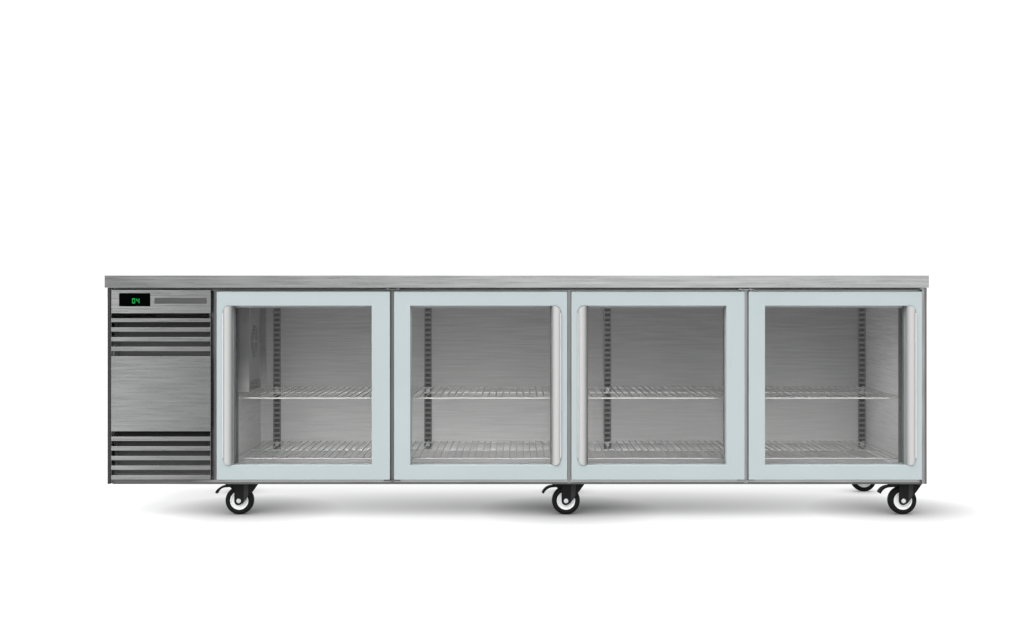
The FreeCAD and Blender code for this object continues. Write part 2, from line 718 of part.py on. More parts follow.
def condenser_coil():
    coil = finned_coil(length=270.0, columns=2, rows=11, spacing=22.0, fin_pitch=9.0)
    return [shape.translated(Vector(-1382.0, -294.0, 146.0)) for shape in coil]


def evaporator_coil():
    """A slim coil standing on the left wall of the cold space."""
    coil = finned_coil(length=138.0, columns=1, rows=13, spacing=22.0, fin_pitch=6.0)
    turn = FreeCAD.Placement(Vector(-996.0, -187.0, 448.0), FreeCAD.Rotation(Z_AXIS, 90))
    for shape in coil:
        shape.Placement = turn.multiply(shape.Placement)
    return coil


def fan_wheel(hub_radius, hub_length, tip_radius, blades, pitch_angle):
    """An axial fan about the Z axis: a hub and pitched blades, starting at z = 0."""
    hub = rod((0, 0, 0), Z_AXIS, hub_length, hub_radius)
    keep = rod((0, 0, -5), Z_AXIS, hub_length + 10, tip_radius)
    blade_width = 0.88 * hub_length / math.sin(math.radians(pitch_angle))
    parts = [hub]
    for number in range(blades):
        blade = box(hub_radius - 3, tip_radius + 5, -blade_width / 2, blade_width / 2, -0.8, 0.8)
        blade.rotate(Vector(0, 0, 0), X_AXIS, pitch_angle)
        blade.translate(Vector(0, 0, hub_length / 2))
        blade.rotate(Vector(0, 0, 0), Z_AXIS, number * 360 / blades)
        parts.append(blade.common(keep))
    return fused(parts)


def condenser_fan():
    wheel = fan_wheel(hub_radius=24.0, hub_length=24.0, tip_radius=CONDENSER_FAN_RADIUS,
                      blades=5, pitch_angle=28.0)
    wheel.rotate(Vector(0, 0, 0), X_AXIS, -90)
    wheel.translate(CONDENSER_FAN_CENTRE)
    return [wheel]


def fan_shroud():
    """The plate and ring round the condenser fan, the motor behind it and its bracket."""
    centre = CONDENSER_FAN_CENTRE
    left, right, front, back = -1400.0, -1090.0, -246.0, -244.5
    opening_radius = CONDENSER_FAN_RADIUS + 5
    ring_length, motor_length, motor_radius = 46.0, 50.0, 32.0
    plate = box(left, right, front, back, 146.0, 395.0)
    ring = rod((centre.x, front, centre.z), Y_AXIS, ring_length, opening_radius + 2)
    opening = rod((centre.x, front - 4, centre.z), Y_AXIS, ring_length + 8, opening_radius)
    shroud = fused([plate, ring]).cut(opening)
    bar_front, bar_half, bar_sheet = centre.y + 60, 12.0, 3.0
    low, high = centre.z - bar_half, centre.z + bar_half
    motor = rod((centre.x, centre.y + 26, centre.z), Y_AXIS, motor_length, motor_radius)
    bar = box(left, right, bar_front, bar_front + bar_sheet, low, high)
    posts = [box(x, x + bar_sheet, back, bar_front, low, high)
             for x in (left, right - bar_sheet)]
    return [shroud, fused([motor, bar] + posts)]


def evaporator_cover():
    """A slim cover on the left wall, with a fan grille, an air outlet and the fan motor."""
    x0, x1 = LINER_LEFT, -965.0
    y0, y1, z0, z1 = -215.0, -20.0, 432.0, 745.0
    skin = 1.5
    outer = box(x0, x1, y0, y1, z0, z1)
    inner = box(x0, x1 - skin, y0 + skin, y1 - skin, z0 + skin, z1 - skin)
    centre = EVAPORATOR_FAN_CENTRE
    ring_width, spoke_half, reach = 8.0, 2.0, 62.0
    rings = []
    for radius in (24.0, 36.0, 48.0, 60.0):
        big = rod((x1 - 5, centre.y, centre.z), X_AXIS, 10, radius)
        small = rod((x1 - 5, centre.y, centre.z), X_AXIS, 10, radius - ring_width)
        rings.append(big.cut(small))
    spokes = [box(x1 - 6, x1 + 6, centre.y - reach, centre.y + reach,
                  centre.z - spoke_half, centre.z + spoke_half),
              box(x1 - 6, x1 + 6, centre.y - spoke_half, centre.y + spoke_half,
                  centre.z - reach, centre.z + reach)]
    grille_holes = Part.makeCompound(rings).cut(Part.makeCompound(spokes))
    outlet_pitch, outlet_height = 8.0, 4.0
    outlets = [box(x1 - 5, x1 + 5, y0 + 15, y1 - 15,
                   z0 + 6 + step * outlet_pitch, z0 + 6 + step * outlet_pitch + outlet_height)
               for step in range(4)]
    cover = outer.cut(inner).cut(grille_holes).cut(Part.makeCompound(outlets))
    motor_length, motor_radius = 3.0, 15.0
    motor = rod((x1 - skin - motor_length, centre.y, centre.z), X_AXIS, motor_length, motor_radius)
    return [cover, motor]


def evaporator_fan():
    wheel = fan_wheel(hub_radius=14.0, hub_length=13.0, tip_radius=EVAPORATOR_FAN_RADIUS,
                      blades=7, pitch_angle=30.0)
    wheel.rotate(Vector(0, 0, 0), Y_AXIS, 90)
    wheel.translate(EVAPORATOR_FAN_CENTRE)
    return [wheel]


def refrigerant_pipes():
    """Discharge, liquid and suction lines between the compressor and the two coils."""
    discharge = pipe([(-1250, 81.5, 250), (-1250, -60, 250), (-1105, -60, 250), (-1105, -60, 420),
                      (-1105, -272, 420)], 4.0, 18.0)
    liquid = pipe([(-1395, -272, 420), (-1395, -30, 420), (-1395, -30, 520), (-1085, -30, 520)],
                  3.0, 18.0)
    suction = pipe([(-1250, 150, 309.5), (-1250, 150, 560), (-1250, 20, 560), (-1085, 20, 560)],
                   6.0, 22.0)
    return [discharge, liquid, suction]


def control_box():
    """The electrical box above the unit, and the cable gland in the back panel."""
    shell = box(-1395.0, -1110.0, -296.0, -170.0, 590.0, 700.0)
    shell = shell.makeFillet(4.0, shell.Edges)
    gland_x, gland_z = -1330.0, 640.0
    nut_radius, gland_radius, bore_radius = 13.0, 9.0, 4.0
    nut = rod((gland_x, BODY_BACK, gland_z), Y_AXIS, 4, nut_radius)
    gland = rod((gland_x, BODY_BACK + 4, gland_z), Y_AXIS, 5.5, gland_radius)
    bore = rod((gland_x, BODY_BACK - 1, gland_z), Y_AXIS, 12, bore_radius)
    return [shell, fused([nut, gland]).cut(bore)]


# ---------------------------------------------------------------- castors
def castor_places():
    """The axle X and the wheel's Y of each castor: the front row, then the rear row."""
    return [(x, FRONT_ROW) for x in FRONT_AXLES] + [(x, REAR_ROW) for x in REAR_AXLES]


def castor_plates():
    """A fixed plate, upper race and king pin for each castor."""
    plates = []
    for x, y in castor_places():
        swivel = x + CASTOR_TRAIL
        plate = box(swivel - PLATE_HALF_X, swivel + PLATE_HALF_X, y - PLATE_HALF_Y,
                    y + PLATE_HALF_Y, PLATE_BOTTOM, BASE_BOTTOM)
        race = rod((swivel, y, 120.3), Z_AXIS, 4.0, RACE_RADIUS)
        pin = rod((swivel, y, 106.0), Z_AXIS, 15.0, KINGPIN_RADIUS)
        nut = rod((swivel, y, 103.0), Z_AXIS, 3.0, 10.0)
        plates.append(fused([plate, race, pin, nut]))
    return plates


def castor_fork(x, y):
    """The crown, two legs and the axle bolt of a castor."""
    swivel = x + CASTOR_TRAIL
    crown = box(x - 16, x + 68, y - LEG_OUTER, y + LEG_OUTER, CROWN_BOTTOM, CROWN_TOP)
    race = rod((swivel, y, CROWN_TOP - 1), Z_AXIS, 4.0, RACE_RADIUS)
    hole = rod((swivel, y, 106.0), Z_AXIS, 20.0, KINGPIN_RADIUS + RUNNING_GAP)
    outline = [(x - 16, CROWN_BOTTOM), (x - 16, WHEEL_RADIUS), ((x - 9, 37), (x + 4, 36)),
               (x + 15, 42), (x + 32, 65), (x + 47, 84), (x + 67, CROWN_BOTTOM)]
    legs = []
    for side in (-1, 1):
        leg = outline_prism(outline, y + side * LEG_INNER, y + side * LEG_OUTER)
        legs.append(leg.cut(rod((x, y - 30, WHEEL_RADIUS), Y_AXIS, 60, AXLE_RADIUS)))
    head_height, head_radius, nut_radius = 4.0, 8.0, 9.0
    axle = rod((x, y - LEG_OUTER, WHEEL_RADIUS), Y_AXIS, 2 * LEG_OUTER, AXLE_RADIUS)
    head = rod((x, y - LEG_OUTER - head_height, WHEEL_RADIUS), Y_AXIS, head_height, head_radius)
    nut = rod((x, y + LEG_OUTER, WHEEL_RADIUS), Y_AXIS, head_height, nut_radius)
    return [fused([crown, race]).cut(hole)] + legs + [fused([axle, head, nut])]


def castor_wheel(x, y):
    """A rubber tyre round a hub that turns on the axle bolt."""
    half = WHEEL_WIDTH / 2
    shoulder = 5.0
    hub_inset, boss_proud, dish_depth, dish_rim = 2.0, 1.5, 4.0, 4.0
    tyre = rod((x, y - half, WHEEL_RADIUS), Y_AXIS, WHEEL_WIDTH, WHEEL_RADIUS)
    tyre = tyre.makeFillet(shoulder, [edge for edge in tyre.Edges if edge.BoundBox.YLength < 1e-6])
    tyre = tyre.cut(rod((x, y - half - 1, WHEEL_RADIUS), Y_AXIS, WHEEL_WIDTH + 2, HUB_RADIUS))
    hub = rod((x, y - half + hub_inset, WHEEL_RADIUS), Y_AXIS, WHEEL_WIDTH - 2 * hub_inset,
              HUB_RADIUS)
    boss = rod((x, y - half - boss_proud, WHEEL_RADIUS), Y_AXIS, WHEEL_WIDTH + 2 * boss_proud,
               BOSS_RADIUS)
    dish = [rod((x, start, WHEEL_RADIUS), Y_AXIS, dish_depth + 1, HUB_RADIUS - dish_rim)
            for start in (y - half + hub_inset - 1, y + half - hub_inset - dish_depth)]
    bore = rod((x, y - 30, WHEEL_RADIUS), Y_AXIS, 60, AXLE_RADIUS + RUNNING_GAP)
    hub = fused([hub.cut(Part.makeCompound(dish)), boss]).cut(bore)
    return [tyre, hub]


def brake_pedal(x, y):
    """A pressed lever on the left of a front castor, curving down at its tip."""
    outline = [(x - 17, 110), (x - 52, 110), (x - 60, 108.5), ((x - 72, 104), (x - 87, 85)),
               (x - 80, 80), ((x - 70, 94), (x - 58, 101.5)), (x - 50, 104), (x - 30, 105),
               (x - 17, 100)]
    half_width = 14.0
    return [outline_prism(outline, y - half_width, y + half_width)]


# ---------------------------------------------------------------- fasteners
def fasteners():
    """Castor bolts, hinge screws and back panel screws."""
    heads = []
    for x, y in castor_places():
        swivel = x + CASTOR_TRAIL
        heads += [rod((swivel + dx, y + dy, PLATE_BOTTOM - 3.5), Z_AXIS, 3.5, 5.0)
                  for dx in (-18, 18) for dy in (-39, 39)]
    for centre in hinge_centres():
        heads += [rod((centre + dx, -308.0, BODY_TOP + BRACKET_SHEET), Z_AXIS, 2.5, 5.0)
                  for dx in (-18, 18)]
    columns, first_x = 8, -1405.0
    pitch = -2 * first_x / (columns - 1)
    for column in range(columns):
        x = first_x + column * pitch
        heads += [rod((x, BODY_BACK, z), Y_AXIS, 2.5, 4.5) for z in (140.0, 785.0)]
    return heads


# ---------------------------------------------------------------- writing the nodes
def all_nodes():
    """Every node's name with its list of solids."""
    nodes = {
        "worktop": worktop(),
        "top_deck": top_deck(),
        "side_panels": [side_panel(-1), side_panel(1)],
        "back_panel": back_panel(),
        "base_panel": base_panel(),
        "face_frame": face_frame(),
        "inner_liner": inner_liner(),
        "insulation": insulation(),
        "shelf_strips": shelf_strips(),
        "shelf_clips": shelf_clips(),
        "wire_shelves": wire_shelves(),
        "hinge_brackets": hinge_brackets(),
        "control_fascia": control_fascia(),
        "display_module": display_module(),
        "badge_strip": badge_strip(),
        "front_grille": front_grille(),
        "air_filter": air_filter(),
        "unit_tray": unit_tray(),
        "compressor": compressor(),
        "condenser_coil": condenser_coil(),
        "fan_shroud": fan_shroud(),
        "condenser_fan": condenser_fan(),
        "evaporator_coil": evaporator_coil(),
        "evaporator_cover": evaporator_cover(),
        "evaporator_fan": evaporator_fan(),
        "refrigerant_pipes": refrigerant_pipes(),
        "control_box": control_box(),
        "castor_plates": castor_plates(),
        "fasteners": fasteners(),
    }
    for index in range(DOOR_COUNT):
        number = index + 1
        nodes[f"door_frame_{number}"] = door_frame(index)
        nodes[f"door_glass_{number}"] = door_glass(index)
        nodes[f"door_gasket_{number}"] = door_gasket(index)
        nodes[f"door_handle_{number}"] = door_handle(index)
    for number, (x, y) in enumerate(castor_places(), start=1):
        nodes[f"castor_fork_{number}"] = castor_fork(x, y)
        nodes[f"castor_wheel_{number}"] = castor_wheel(x, y)
        if y < 0:
            nodes[f"brake_pedal_{number}"] = brake_pedal(x, y)
    return nodes


def main():
    os.makedirs("parts", exist_ok=True)
    for name, solids in all_nodes().items():
        shape = solids[0] if len(solids) == 1 else Part.makeCompound(solids)
        if not shape.isValid() or any(solid.Volume <= 0 for solid in shape.Solids):
            raise ValueError(f"{name} is not a valid closed shape")
        shape.exportStep(f"parts/{name}.step")
        print(name, len(shape.Solids), round(shape.Volume / 1000, 1), "cm3")


main()
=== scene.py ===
import math

import bmesh
import bpy
from mathutils import Matrix, Vector


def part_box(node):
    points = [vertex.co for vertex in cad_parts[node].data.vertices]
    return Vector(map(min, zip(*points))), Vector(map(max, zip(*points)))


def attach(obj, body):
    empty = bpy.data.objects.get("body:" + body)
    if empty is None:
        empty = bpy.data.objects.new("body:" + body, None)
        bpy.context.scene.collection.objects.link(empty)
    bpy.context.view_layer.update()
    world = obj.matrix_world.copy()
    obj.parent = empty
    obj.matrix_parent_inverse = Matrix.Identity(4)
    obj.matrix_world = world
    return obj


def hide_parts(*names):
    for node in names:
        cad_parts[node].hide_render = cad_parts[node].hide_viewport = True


# Under counter fridge: the looks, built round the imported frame. Metres, +Z up, doors face -Y.
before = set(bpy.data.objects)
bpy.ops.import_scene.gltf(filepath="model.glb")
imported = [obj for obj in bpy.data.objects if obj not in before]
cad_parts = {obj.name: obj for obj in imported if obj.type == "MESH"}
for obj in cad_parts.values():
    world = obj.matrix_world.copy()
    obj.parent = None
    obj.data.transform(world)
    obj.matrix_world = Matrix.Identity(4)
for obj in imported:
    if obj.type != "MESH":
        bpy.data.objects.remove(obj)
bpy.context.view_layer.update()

MM = 0.001
DOORS = (1, 2, 3, 4)
CASTORS = (1, 2, 3, 4, 5, 6)
FRONT_CASTORS = (1, 2, 3)


# ---- mesh helpers
def add_box(bm, low, high, radius, segments=2):
    """A box between two corners, with rounded edges."""
    middle = (Vector(low) + Vector(high)) / 2
    size = Vector(high) - Vector(low)
    place = Matrix.Translation(middle) @ Matrix.Diagonal((*size, 1.0))
    made = bmesh.ops.create_cube(bm, size=1.0, matrix=place)
    edges = list({edge for vert in made["verts"] for edge in vert.link_edges})
    bmesh.ops.bevel(bm, geom=edges, offset=radius, segments=segments, profile=0.5, affect="EDGES")


def add_loops(bm, loops, closed=False):
    """A skin over loops of equal length, closed into a ring or else capped at both ends."""
    rings = [[bm.verts.new(point) for point in loop] for loop in loops]
    pairs = list(zip(rings, rings[1:]))
    if closed:
        pairs.append((rings[-1], rings[0]))
    for first, second in pairs:
        for index in range(len(first)):
            after = (index + 1) % len(first)
            bm.faces.new((first[index], first[after], second[after], second[index]))
    if not closed:
        bm.faces.new(list(reversed(rings[0])))
        bm.faces.new(rings[-1])
    return [vert for ring in rings for vert in ring]


def add_lathe(bm, profile, centre, axis="Y", steps=48, closed=False):
    """Turns (radius, along) points about an axis through centre."""
    loops = []
    for radius, along in profile:
        loop = []
        for step in range(steps):
            angle = 2 * math.pi * step / steps
            a = radius * math.cos(angle)
            b = radius * math.sin(angle)
            offset = {"X": (along, a, b), "Y": (a, along, b), "Z": (a, b, along)}[axis]
            loop.append(Vector(centre) + Vector(offset))
        loops.append(loop)
    made = add_loops(bm, loops, closed)
    bmesh.ops.remove_doubles(bm, verts=made, dist=1e-7)


CORNER_STEPS = 6


def rounded_outline(x0, x1, z0, z1, radii):
    """Points round a rectangle from its lower left corner, with one radius for each corner."""
    corners = ((x0, z0, 1, 1, 180), (x1, z0, -1, 1, 270), (x1, z1, -1, -1, 0), (x0, z1, 1, -1, 90))
    points = []
    for (x, z, inward_x, inward_z, start), radius in zip(corners, radii):
        for step in range(CORNER_STEPS + 1):
            angle = math.radians(start + 90 * step / CORNER_STEPS)
            points.append((x + inward_x * radius + radius * math.cos(angle),
                           z + inward_z * radius + radius * math.sin(angle)))
    return points


def inset_outline(limits, radii, inset):
    """The outline moved inwards by inset, or outwards where inset is negative."""
    x0, x1, z0, z1 = limits
    smaller = [max(radius - inset, 0.2 * MM) for radius in radii]
    return rounded_outline(x0 + inset, x1 - inset, z0 + inset, z1 - inset, smaller)


def at_depth(outline, y):
    """An outline in X and Z, set at one place along Y."""
    return [Vector((x, y, z)) for x, z in outline]


def ring(limits, radii, inset, y):
    """The points of an inset outline at one place along Y."""
    return at_depth(inset_outline(limits, radii, inset), y)


def quarter_round(radius, steps=4):
    """Pairs (sideways, forwards) along a quarter circle that starts on the side wall."""
    return [(radius * (1 - math.cos(angle)), radius * math.sin(angle))
            for angle in (math.pi / 2 * step / steps for step in range(steps + 1))]


def arc_points(start, via, end, steps=8):
    """Points along the circle through three 2-D points, without the first one."""
    (ax, ay), (bx, by), (cx, cy) = start, via, end
    aa, bb, cc = ax**2 + ay**2, bx**2 + by**2, cx**2 + cy**2
    d = 2 * (ax * (by - cy) + bx * (cy - ay) + cx * (ay - by))
    ox = (aa * (by - cy) + bb * (cy - ay) + cc * (ay - by)) / d
    oy = (aa * (cx - bx) + bb * (ax - cx) + cc * (bx - ax)) / d
    radius = math.hypot(ax - ox, ay - oy)
    first, middle, last = (math.atan2(y - oy, x - ox) for x, y in (start, via, end))
    sweep = (last - first) % (2 * math.pi)
    if (middle - first) % (2 * math.pi) > sweep:
        sweep -= 2 * math.pi
    return [(ox + radius * math.cos(first + sweep * step / steps),
             oy + radius * math.sin(first + sweep * step / steps)) for step in range(1, steps + 1)]


def add_prism(bm, outline, y0, y1, radius):
    """An outline in X and Z with thickness along Y, with softened rims."""
    made = add_loops(bm, [at_depth(outline, y0), at_depth(outline, y1)])
    rims = [edge for edge in {e for vert in made for e in vert.link_edges}
            if abs(edge.verts[0].co.y - edge.verts[1].co.y) < 1e-7]
    bmesh.ops.bevel(bm, geom=rims, offset=radius, segments=2, profile=0.5, affect="EDGES",
                    clamp_overlap=True)


def add_tube(bm, points, radius, sides=10):
    """A round bar along a line of points, with softened ends."""
    line = [Vector(point) for point in points]
    tangents = [(line[min(i + 1, len(line) - 1)] - line[max(i - 1, 0)]).normalized()
                for i in range(len(line))]
    across = tangents[0].orthogonal().normalized()
    rings = []
    ends = {0: -1, len(line) - 1: 1}
    for index, (point, tangent) in enumerate(zip(line, tangents)):
        if index:
            across = tangents[index - 1].rotation_difference(tangent) @ across
        up = tangent.cross(across)

        def circle(size, shift):
            return [point + tangent * shift
                    + (across * math.cos(2 * math.pi * k / sides)
                       + up * math.sin(2 * math.pi * k / sides)) * size
                    for k in range(sides)]

        if index in ends:
            tip = circle(radius * 0.6, 0.0)
            shoulder = circle(radius, -ends[index] * radius * 0.4)
            rings += [tip, shoulder] if index == 0 else [shoulder, tip]
        else:
            rings.append(circle(radius, 0.0))
    add_loops(bm, rings)


def add_hex_head(bm, centre, radius, height, direction):
    """A bolt head along Y: a washer face and a chamfered hexagon. direction is the way it faces."""
    x, y, z = centre
    add_lathe(bm, [(0, 0), (radius, 0), (radius, 0.22 * height * direction),
                   (0.9 * radius, 0.28 * height * direction), (0, 0.28 * height * direction)],
              centre, "Y", 32)
    loops = []
    for size, along in ((0.86, 0.27), (0.86, 0.86), (0.78, 1.0)):
        loops.append([Vector((x + size * radius * math.cos(math.radians(60 * k + 15)),
                              y + along * height * direction,
                              z + size * radius * math.sin(math.radians(60 * k + 15))))
                      for k in range(6)])
    add_loops(bm, loops)


def new_piece(name, bm, body, material, nodes=(), angle=35):
    """Turns the mesh into a named object that rides on a body and stands for CAD nodes.

    Edges sharper than angle, in degrees, stay crisp; the others are shaded smooth.
    """
    bmesh.ops.recalc_face_normals(bm, faces=bm.faces)
    mesh = bpy.data.meshes.new(name)
    bm.to_mesh(mesh)
    bm.free()
    mesh.materials.append(MATERIALS[material])
    mesh.shade_smooth()
    mesh.set_sharp_from_angle(angle=math.radians(angle))
    piece = bpy.data.objects.new(name, mesh)
    bpy.context.scene.collection.objects.link(piece)
    piece.modifiers.new("weighted_normals", "WEIGHTED_NORMAL").keep_sharp = True
    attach(piece, body)
    if nodes:
        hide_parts(*nodes)


def softened(node, body, material, radius):
    """A copy of a CAD node with its sharp edges rounded, standing for that node."""
    bm = bmesh.new()
    bm.from_mesh(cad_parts[node].data)
    bmesh.ops.remove_doubles(bm, verts=bm.verts, dist=1e-6)
    bmesh.ops.dissolve_limit(bm, angle_limit=math.radians(0.5), verts=bm.verts, edges=bm.edges)
    sharp = [edge for edge in bm.edges
             if len(edge.link_faces) == 2 and edge.calc_face_angle(0) > math.radians(40)]
    bmesh.ops.bevel(bm, geom=sharp, offset=radius, segments=2, profile=0.5, affect="EDGES",
                    clamp_overlap=True)
    new_piece(node + "_skin", bm, body, material, (node,))


def box_piece(name, low, high, radius, body, material, nodes=()):
    """One box with rounded edges as a piece of its own."""
    bm = bmesh.new()
    add_box(bm, low, high, radius)
    new_piece(name, bm, body, material, nodes)


def middle_of(node):
    low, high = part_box(node)
    return (low + high) / 2


# ---- materials
class Graph:
    """The nodes of a material or of the world, with short calls for the kinds used here."""

    def __init__(self, tree):
        self.nodes = tree.nodes
        self.links = tree.links

    def node(self, kind, **values):
        """A new node of a kind, with values for its inputs; _ stands for a space in their names."""
        made = self.nodes.new("ShaderNode" + kind)
        for name, value in values.items():
            made.inputs[name.replace("_", " ")].default_value = value
        return made

    def span(self, value, low=0.0, high=1.0, start=0.3, end=0.7):
        """The value, stretched so that start to end becomes low to high, and held beyond."""
        mapped = self.node("MapRange", From_Min=start, From_Max=end, To_Min=low, To_Max=high)
        self.links.new(value, mapped.inputs["Value"])
        return mapped.outputs["Result"]

    def combine(self, operation, first, second):
        node = self.node("Math")
        node.operation = operation
        self.links.new(first, node.inputs[0])
        self.links.new(second, node.inputs[1])
        return node.outputs["Value"]

    def product(self, first, second):
        return self.combine("MULTIPLY", first, second)


class Shader(Graph):
    """A material with its coordinates in metres and its principled surface."""

    def __init__(self, name, colour, metallic=0.0, roughness=0.5):
        self.material = bpy.data.materials.new(name)
        self.material.use_nodes = True
        super().__init__(self.material.node_tree)
        self.bsdf = self.nodes["Principled BSDF"]
        self.put("Base Color", (*colour, 1.0))
        self.put("Metallic", metallic)
        self.put("Roughness", roughness)
        self.coordinates = self.node("TexCoord").outputs["Object"]

    def put(self, name, value):
        self.bsdf.inputs[name].default_value = value

    def scaled(self, scale):
        """The coordinates times a scale: one number, or one for each axis."""
        if isinstance(scale, float):
            scale = (scale, scale, scale)
        mapping = self.node("Mapping", Scale=scale)
        self.links.new(self.coordinates, mapping.inputs["Vector"])
        return mapping.outputs["Vector"]

    def noise(self, scale, detail=3.0):
        texture = self.node("TexNoise", Scale=1.0, Detail=detail)
        self.links.new(self.scaled(scale), texture.inputs["Vector"])
        return texture.outputs["Fac"]

    def cells(self, scale):
        texture = self.node("TexVoronoi", Scale=1.0)
        self.links.new(self.scaled(scale), texture.inputs["Vector"])
        return texture.outputs["Color"]

    def facing(self, axis):
        """How far the surface faces along an axis of its own object, from -1 to 1."""
        split = self.node("SeparateXYZ")
        texture = self.node("TexCoord")
        self.links.new(texture.outputs["Normal"], split.inputs["Vector"])
        return split.outputs[axis]

    def place(self, axis):
        """The surface's own coordinate along an axis, in metres."""
        split = self.node("SeparateXYZ")
        self.links.new(self.coordinates, split.inputs["Vector"])
        return split.outputs[axis]

    def colour(self, value, dark, light):
        mix = self.node("Mix")
        mix.data_type = "RGBA"
        mix.inputs["A"].default_value = (*dark, 1.0)
        mix.inputs["B"].default_value = (*light, 1.0)
        self.links.new(value, mix.inputs["Factor"])
        self.links.new(mix.outputs["Result"], self.bsdf.inputs["Base Color"])

    def paint_shading(self, tone):
        """Multiplies the base colour that is already linked by a grey tone, for painted light and
        shade.
        """
        colour = self.bsdf.inputs["Base Color"].links[0].from_socket
        mix = self.node("Mix")
        mix.data_type = "RGBA"
        mix.blend_type = "MULTIPLY"
        mix.inputs["Factor"].default_value = 1.0
        self.links.new(colour, mix.inputs["A"])
        self.links.new(tone, mix.inputs["B"])
        self.links.new(mix.outputs["Result"], self.bsdf.inputs["Base Color"])

    def rough(self, value, low, high):
        self.links.new(self.span(value, low, high), self.bsdf.inputs["Roughness"])

    def bump(self, value, depth):
        bump = self.node("Bump", Distance=depth)
        self.links.new(value, bump.inputs["Height"])
        self.links.new(bump.outputs["Normal"], self.bsdf.inputs["Normal"])


def shade(colour, factor):
    return tuple(channel * factor for channel in colour)


def brushed(name, colour, roughness, grain, contrast=0.16, metallic=1.0, depth=0.03):
    """Brushed metal. grain is the way of the strokes: X, Z, or TOP for X on a level sheet too."""
    return brushed_shader(name, colour, roughness, grain, contrast, metallic, depth).material


def brushed_shader(name, colour, roughness, grain, contrast, metallic, depth):
    shader = Shader(name, colour, metallic, roughness)
    across_grain = {"X": (6.0, 6.0, 170.0), "Z": (170.0, 170.0, 6.0), "TOP": (6.0, 170.0, 170.0)}
    strokes = shader.noise(across_grain[grain], 3.0)
    along = (1500.0, 1500.0, 14.0) if grain == "Z" else (14.0, 1500.0, 1500.0)
    hairs = shader.noise(along, 2.0)
    shader.colour(shader.span(strokes), shade(colour, 1 - contrast), shade(colour, 1 + contrast))
    shader.rough(strokes, roughness * 0.9, roughness * 1.15)
    shader.bump(hairs, depth * MM)
    return shader


def graded_steel(name, colour, roughness, grain, darkest, lit_end, shaded_end):
    """Brushed steel with painted shade: it grows darker from one place in X to another, where less
    light falls.
    """
    shader = brushed_shader(name, colour, roughness, grain, 0.13, 1.0, 0.03)
    shader.paint_shading(shader.span(shader.place("X"), 1.0, darkest, lit_end, shaded_end))
    return shader.material


def galvanised(name, colour):
    """Zinc with its patches of crystal."""
    shader = Shader(name, colour, 1.0, 0.4)
    patches = shader.cells(90.0)
    shader.colour(shader.span(patches, 0.0, 1.0, 0.1, 0.9), shade(colour, 0.82),
                  shade(colour, 1.08))
    shader.rough(patches, 0.32, 0.5)
    return shader.material


def plated(name, colour, roughness):
    """Smooth bright metal with faint handling marks."""
    shader = Shader(name, colour, 1.0, roughness)
    marks = shader.noise(60.0, 5.0)
    shader.colour(shader.span(marks), shade(colour, 0.93), shade(colour, 1.04))
    shader.rough(marks, roughness * 0.8, roughness * 1.3)
    return shader.material


def moulded(name, colour, roughness, grain=900.0, depth=0.05, variation=0.08, gloss=0.5):
    """Plastic, rubber or paint with a fine moulded grain."""
    shader = Shader(name, colour, 0.0, roughness)
    shader.put("Specular IOR Level", gloss)
    pores = shader.noise((grain, grain, grain), 2.0)
    clouds = shader.noise(18.0, 4.0)
    shader.colour(shader.span(clouds), shade(colour, 1 - variation),
                  shade(colour, 1 + variation))
    shader.rough(clouds, roughness * 0.88, roughness * 1.12)
    shader.bump(pores, depth * MM)
    return shader.material


def liner_steel(name, bottom, top):
    """Matt stainless inside the cold space, with painted light and shade in its colour.

    It is painted darker towards the ceiling, on the upper left wall and on the right, and painted
    lighter on the floor and on the upper right wall.
    """
    shader = Shader(name, bottom, 0.1, 0.5)
    streaks = shader.noise((6.0, 6.0, 170.0), 3.0)
    across, height = shader.place("X"), shader.place("Z")
    floor_end = (0.15, 0.18)
    # Painted shade: the colour goes from the lit bottom colour to the shaded top colour with
    # height.
    rise = shader.span(height, 0.0, 1.0, 0.16, 0.72)
    shader.colour(shader.combine("ADD", rise, shader.span(streaks, -0.12, 0.12)), bottom, top)
    # Painted light on the floor and the upper right wall, and painted shade on the upper left wall
    # and the right half.
    floor_painted_light = shader.span(height, 1.27, 1.0, *floor_end)
    off_left_wall = shader.span(across, 0.0, 1.0, -1.012, -0.995)
    upper_part = shader.span(height, 1.0, 0.45, 0.4, 0.56)
    left_wall = shader.combine("MAXIMUM", off_left_wall, upper_part)
    right_half = shader.span(across, 1.0, 0.78, 0.1, 0.4)
    on_floor = shader.span(height, 1.0, 0.0, *floor_end)
    right_part = shader.combine("MAXIMUM", right_half, on_floor)
    on_right_wall = shader.span(across, 0.0, 1.0, 1.375, 1.39)
    extra = shader.product(on_right_wall, shader.span(height, 0.5, 2.2, 0.2, 0.7))
    right_wall = shader.span(extra, 1.0, 4.0, 0.0, 3.0)
    shader.paint_shading(shader.product(shader.product(floor_painted_light, left_wall),
                               shader.product(right_part, right_wall)))
    shader.rough(streaks, 0.45, 0.58)
    return shader.material


def cover_finish(name, colour):
    """The evaporator cover: matt steel, with painted shade on the upper part of its front, where
    the air inlet opens.
    """
    shader = brushed_shader(name, colour, 0.5, "X", 0.1, 0.3, 0.03)
    # Painted shade: the upper front is darkened to 0.3 of the steel.
    front = shader.span(shader.facing("Y"), 1.0, 0.0, -0.9, -0.5)
    upper = shader.span(shader.place("Z"), 0.0, 1.0, 0.44, 0.56)
    shader.paint_shading(shader.span(shader.product(front, upper), 1.0, 0.3, 0.0, 1.0))
    return shader.material


def painted(name, colour, roughness):
    """A flat powder coat, even in tone."""
    shader = Shader(name, colour, 0.0, roughness)
    shader.put("Specular IOR Level", 0.25)
    clouds = shader.noise(5.0, 2.0)
    peel = shader.noise(700.0, 2.0)
    shader.colour(shader.span(clouds), shade(colour, 0.985), shade(colour, 1.015))
    shader.bump(peel, 0.01 * MM)
    return shader.material


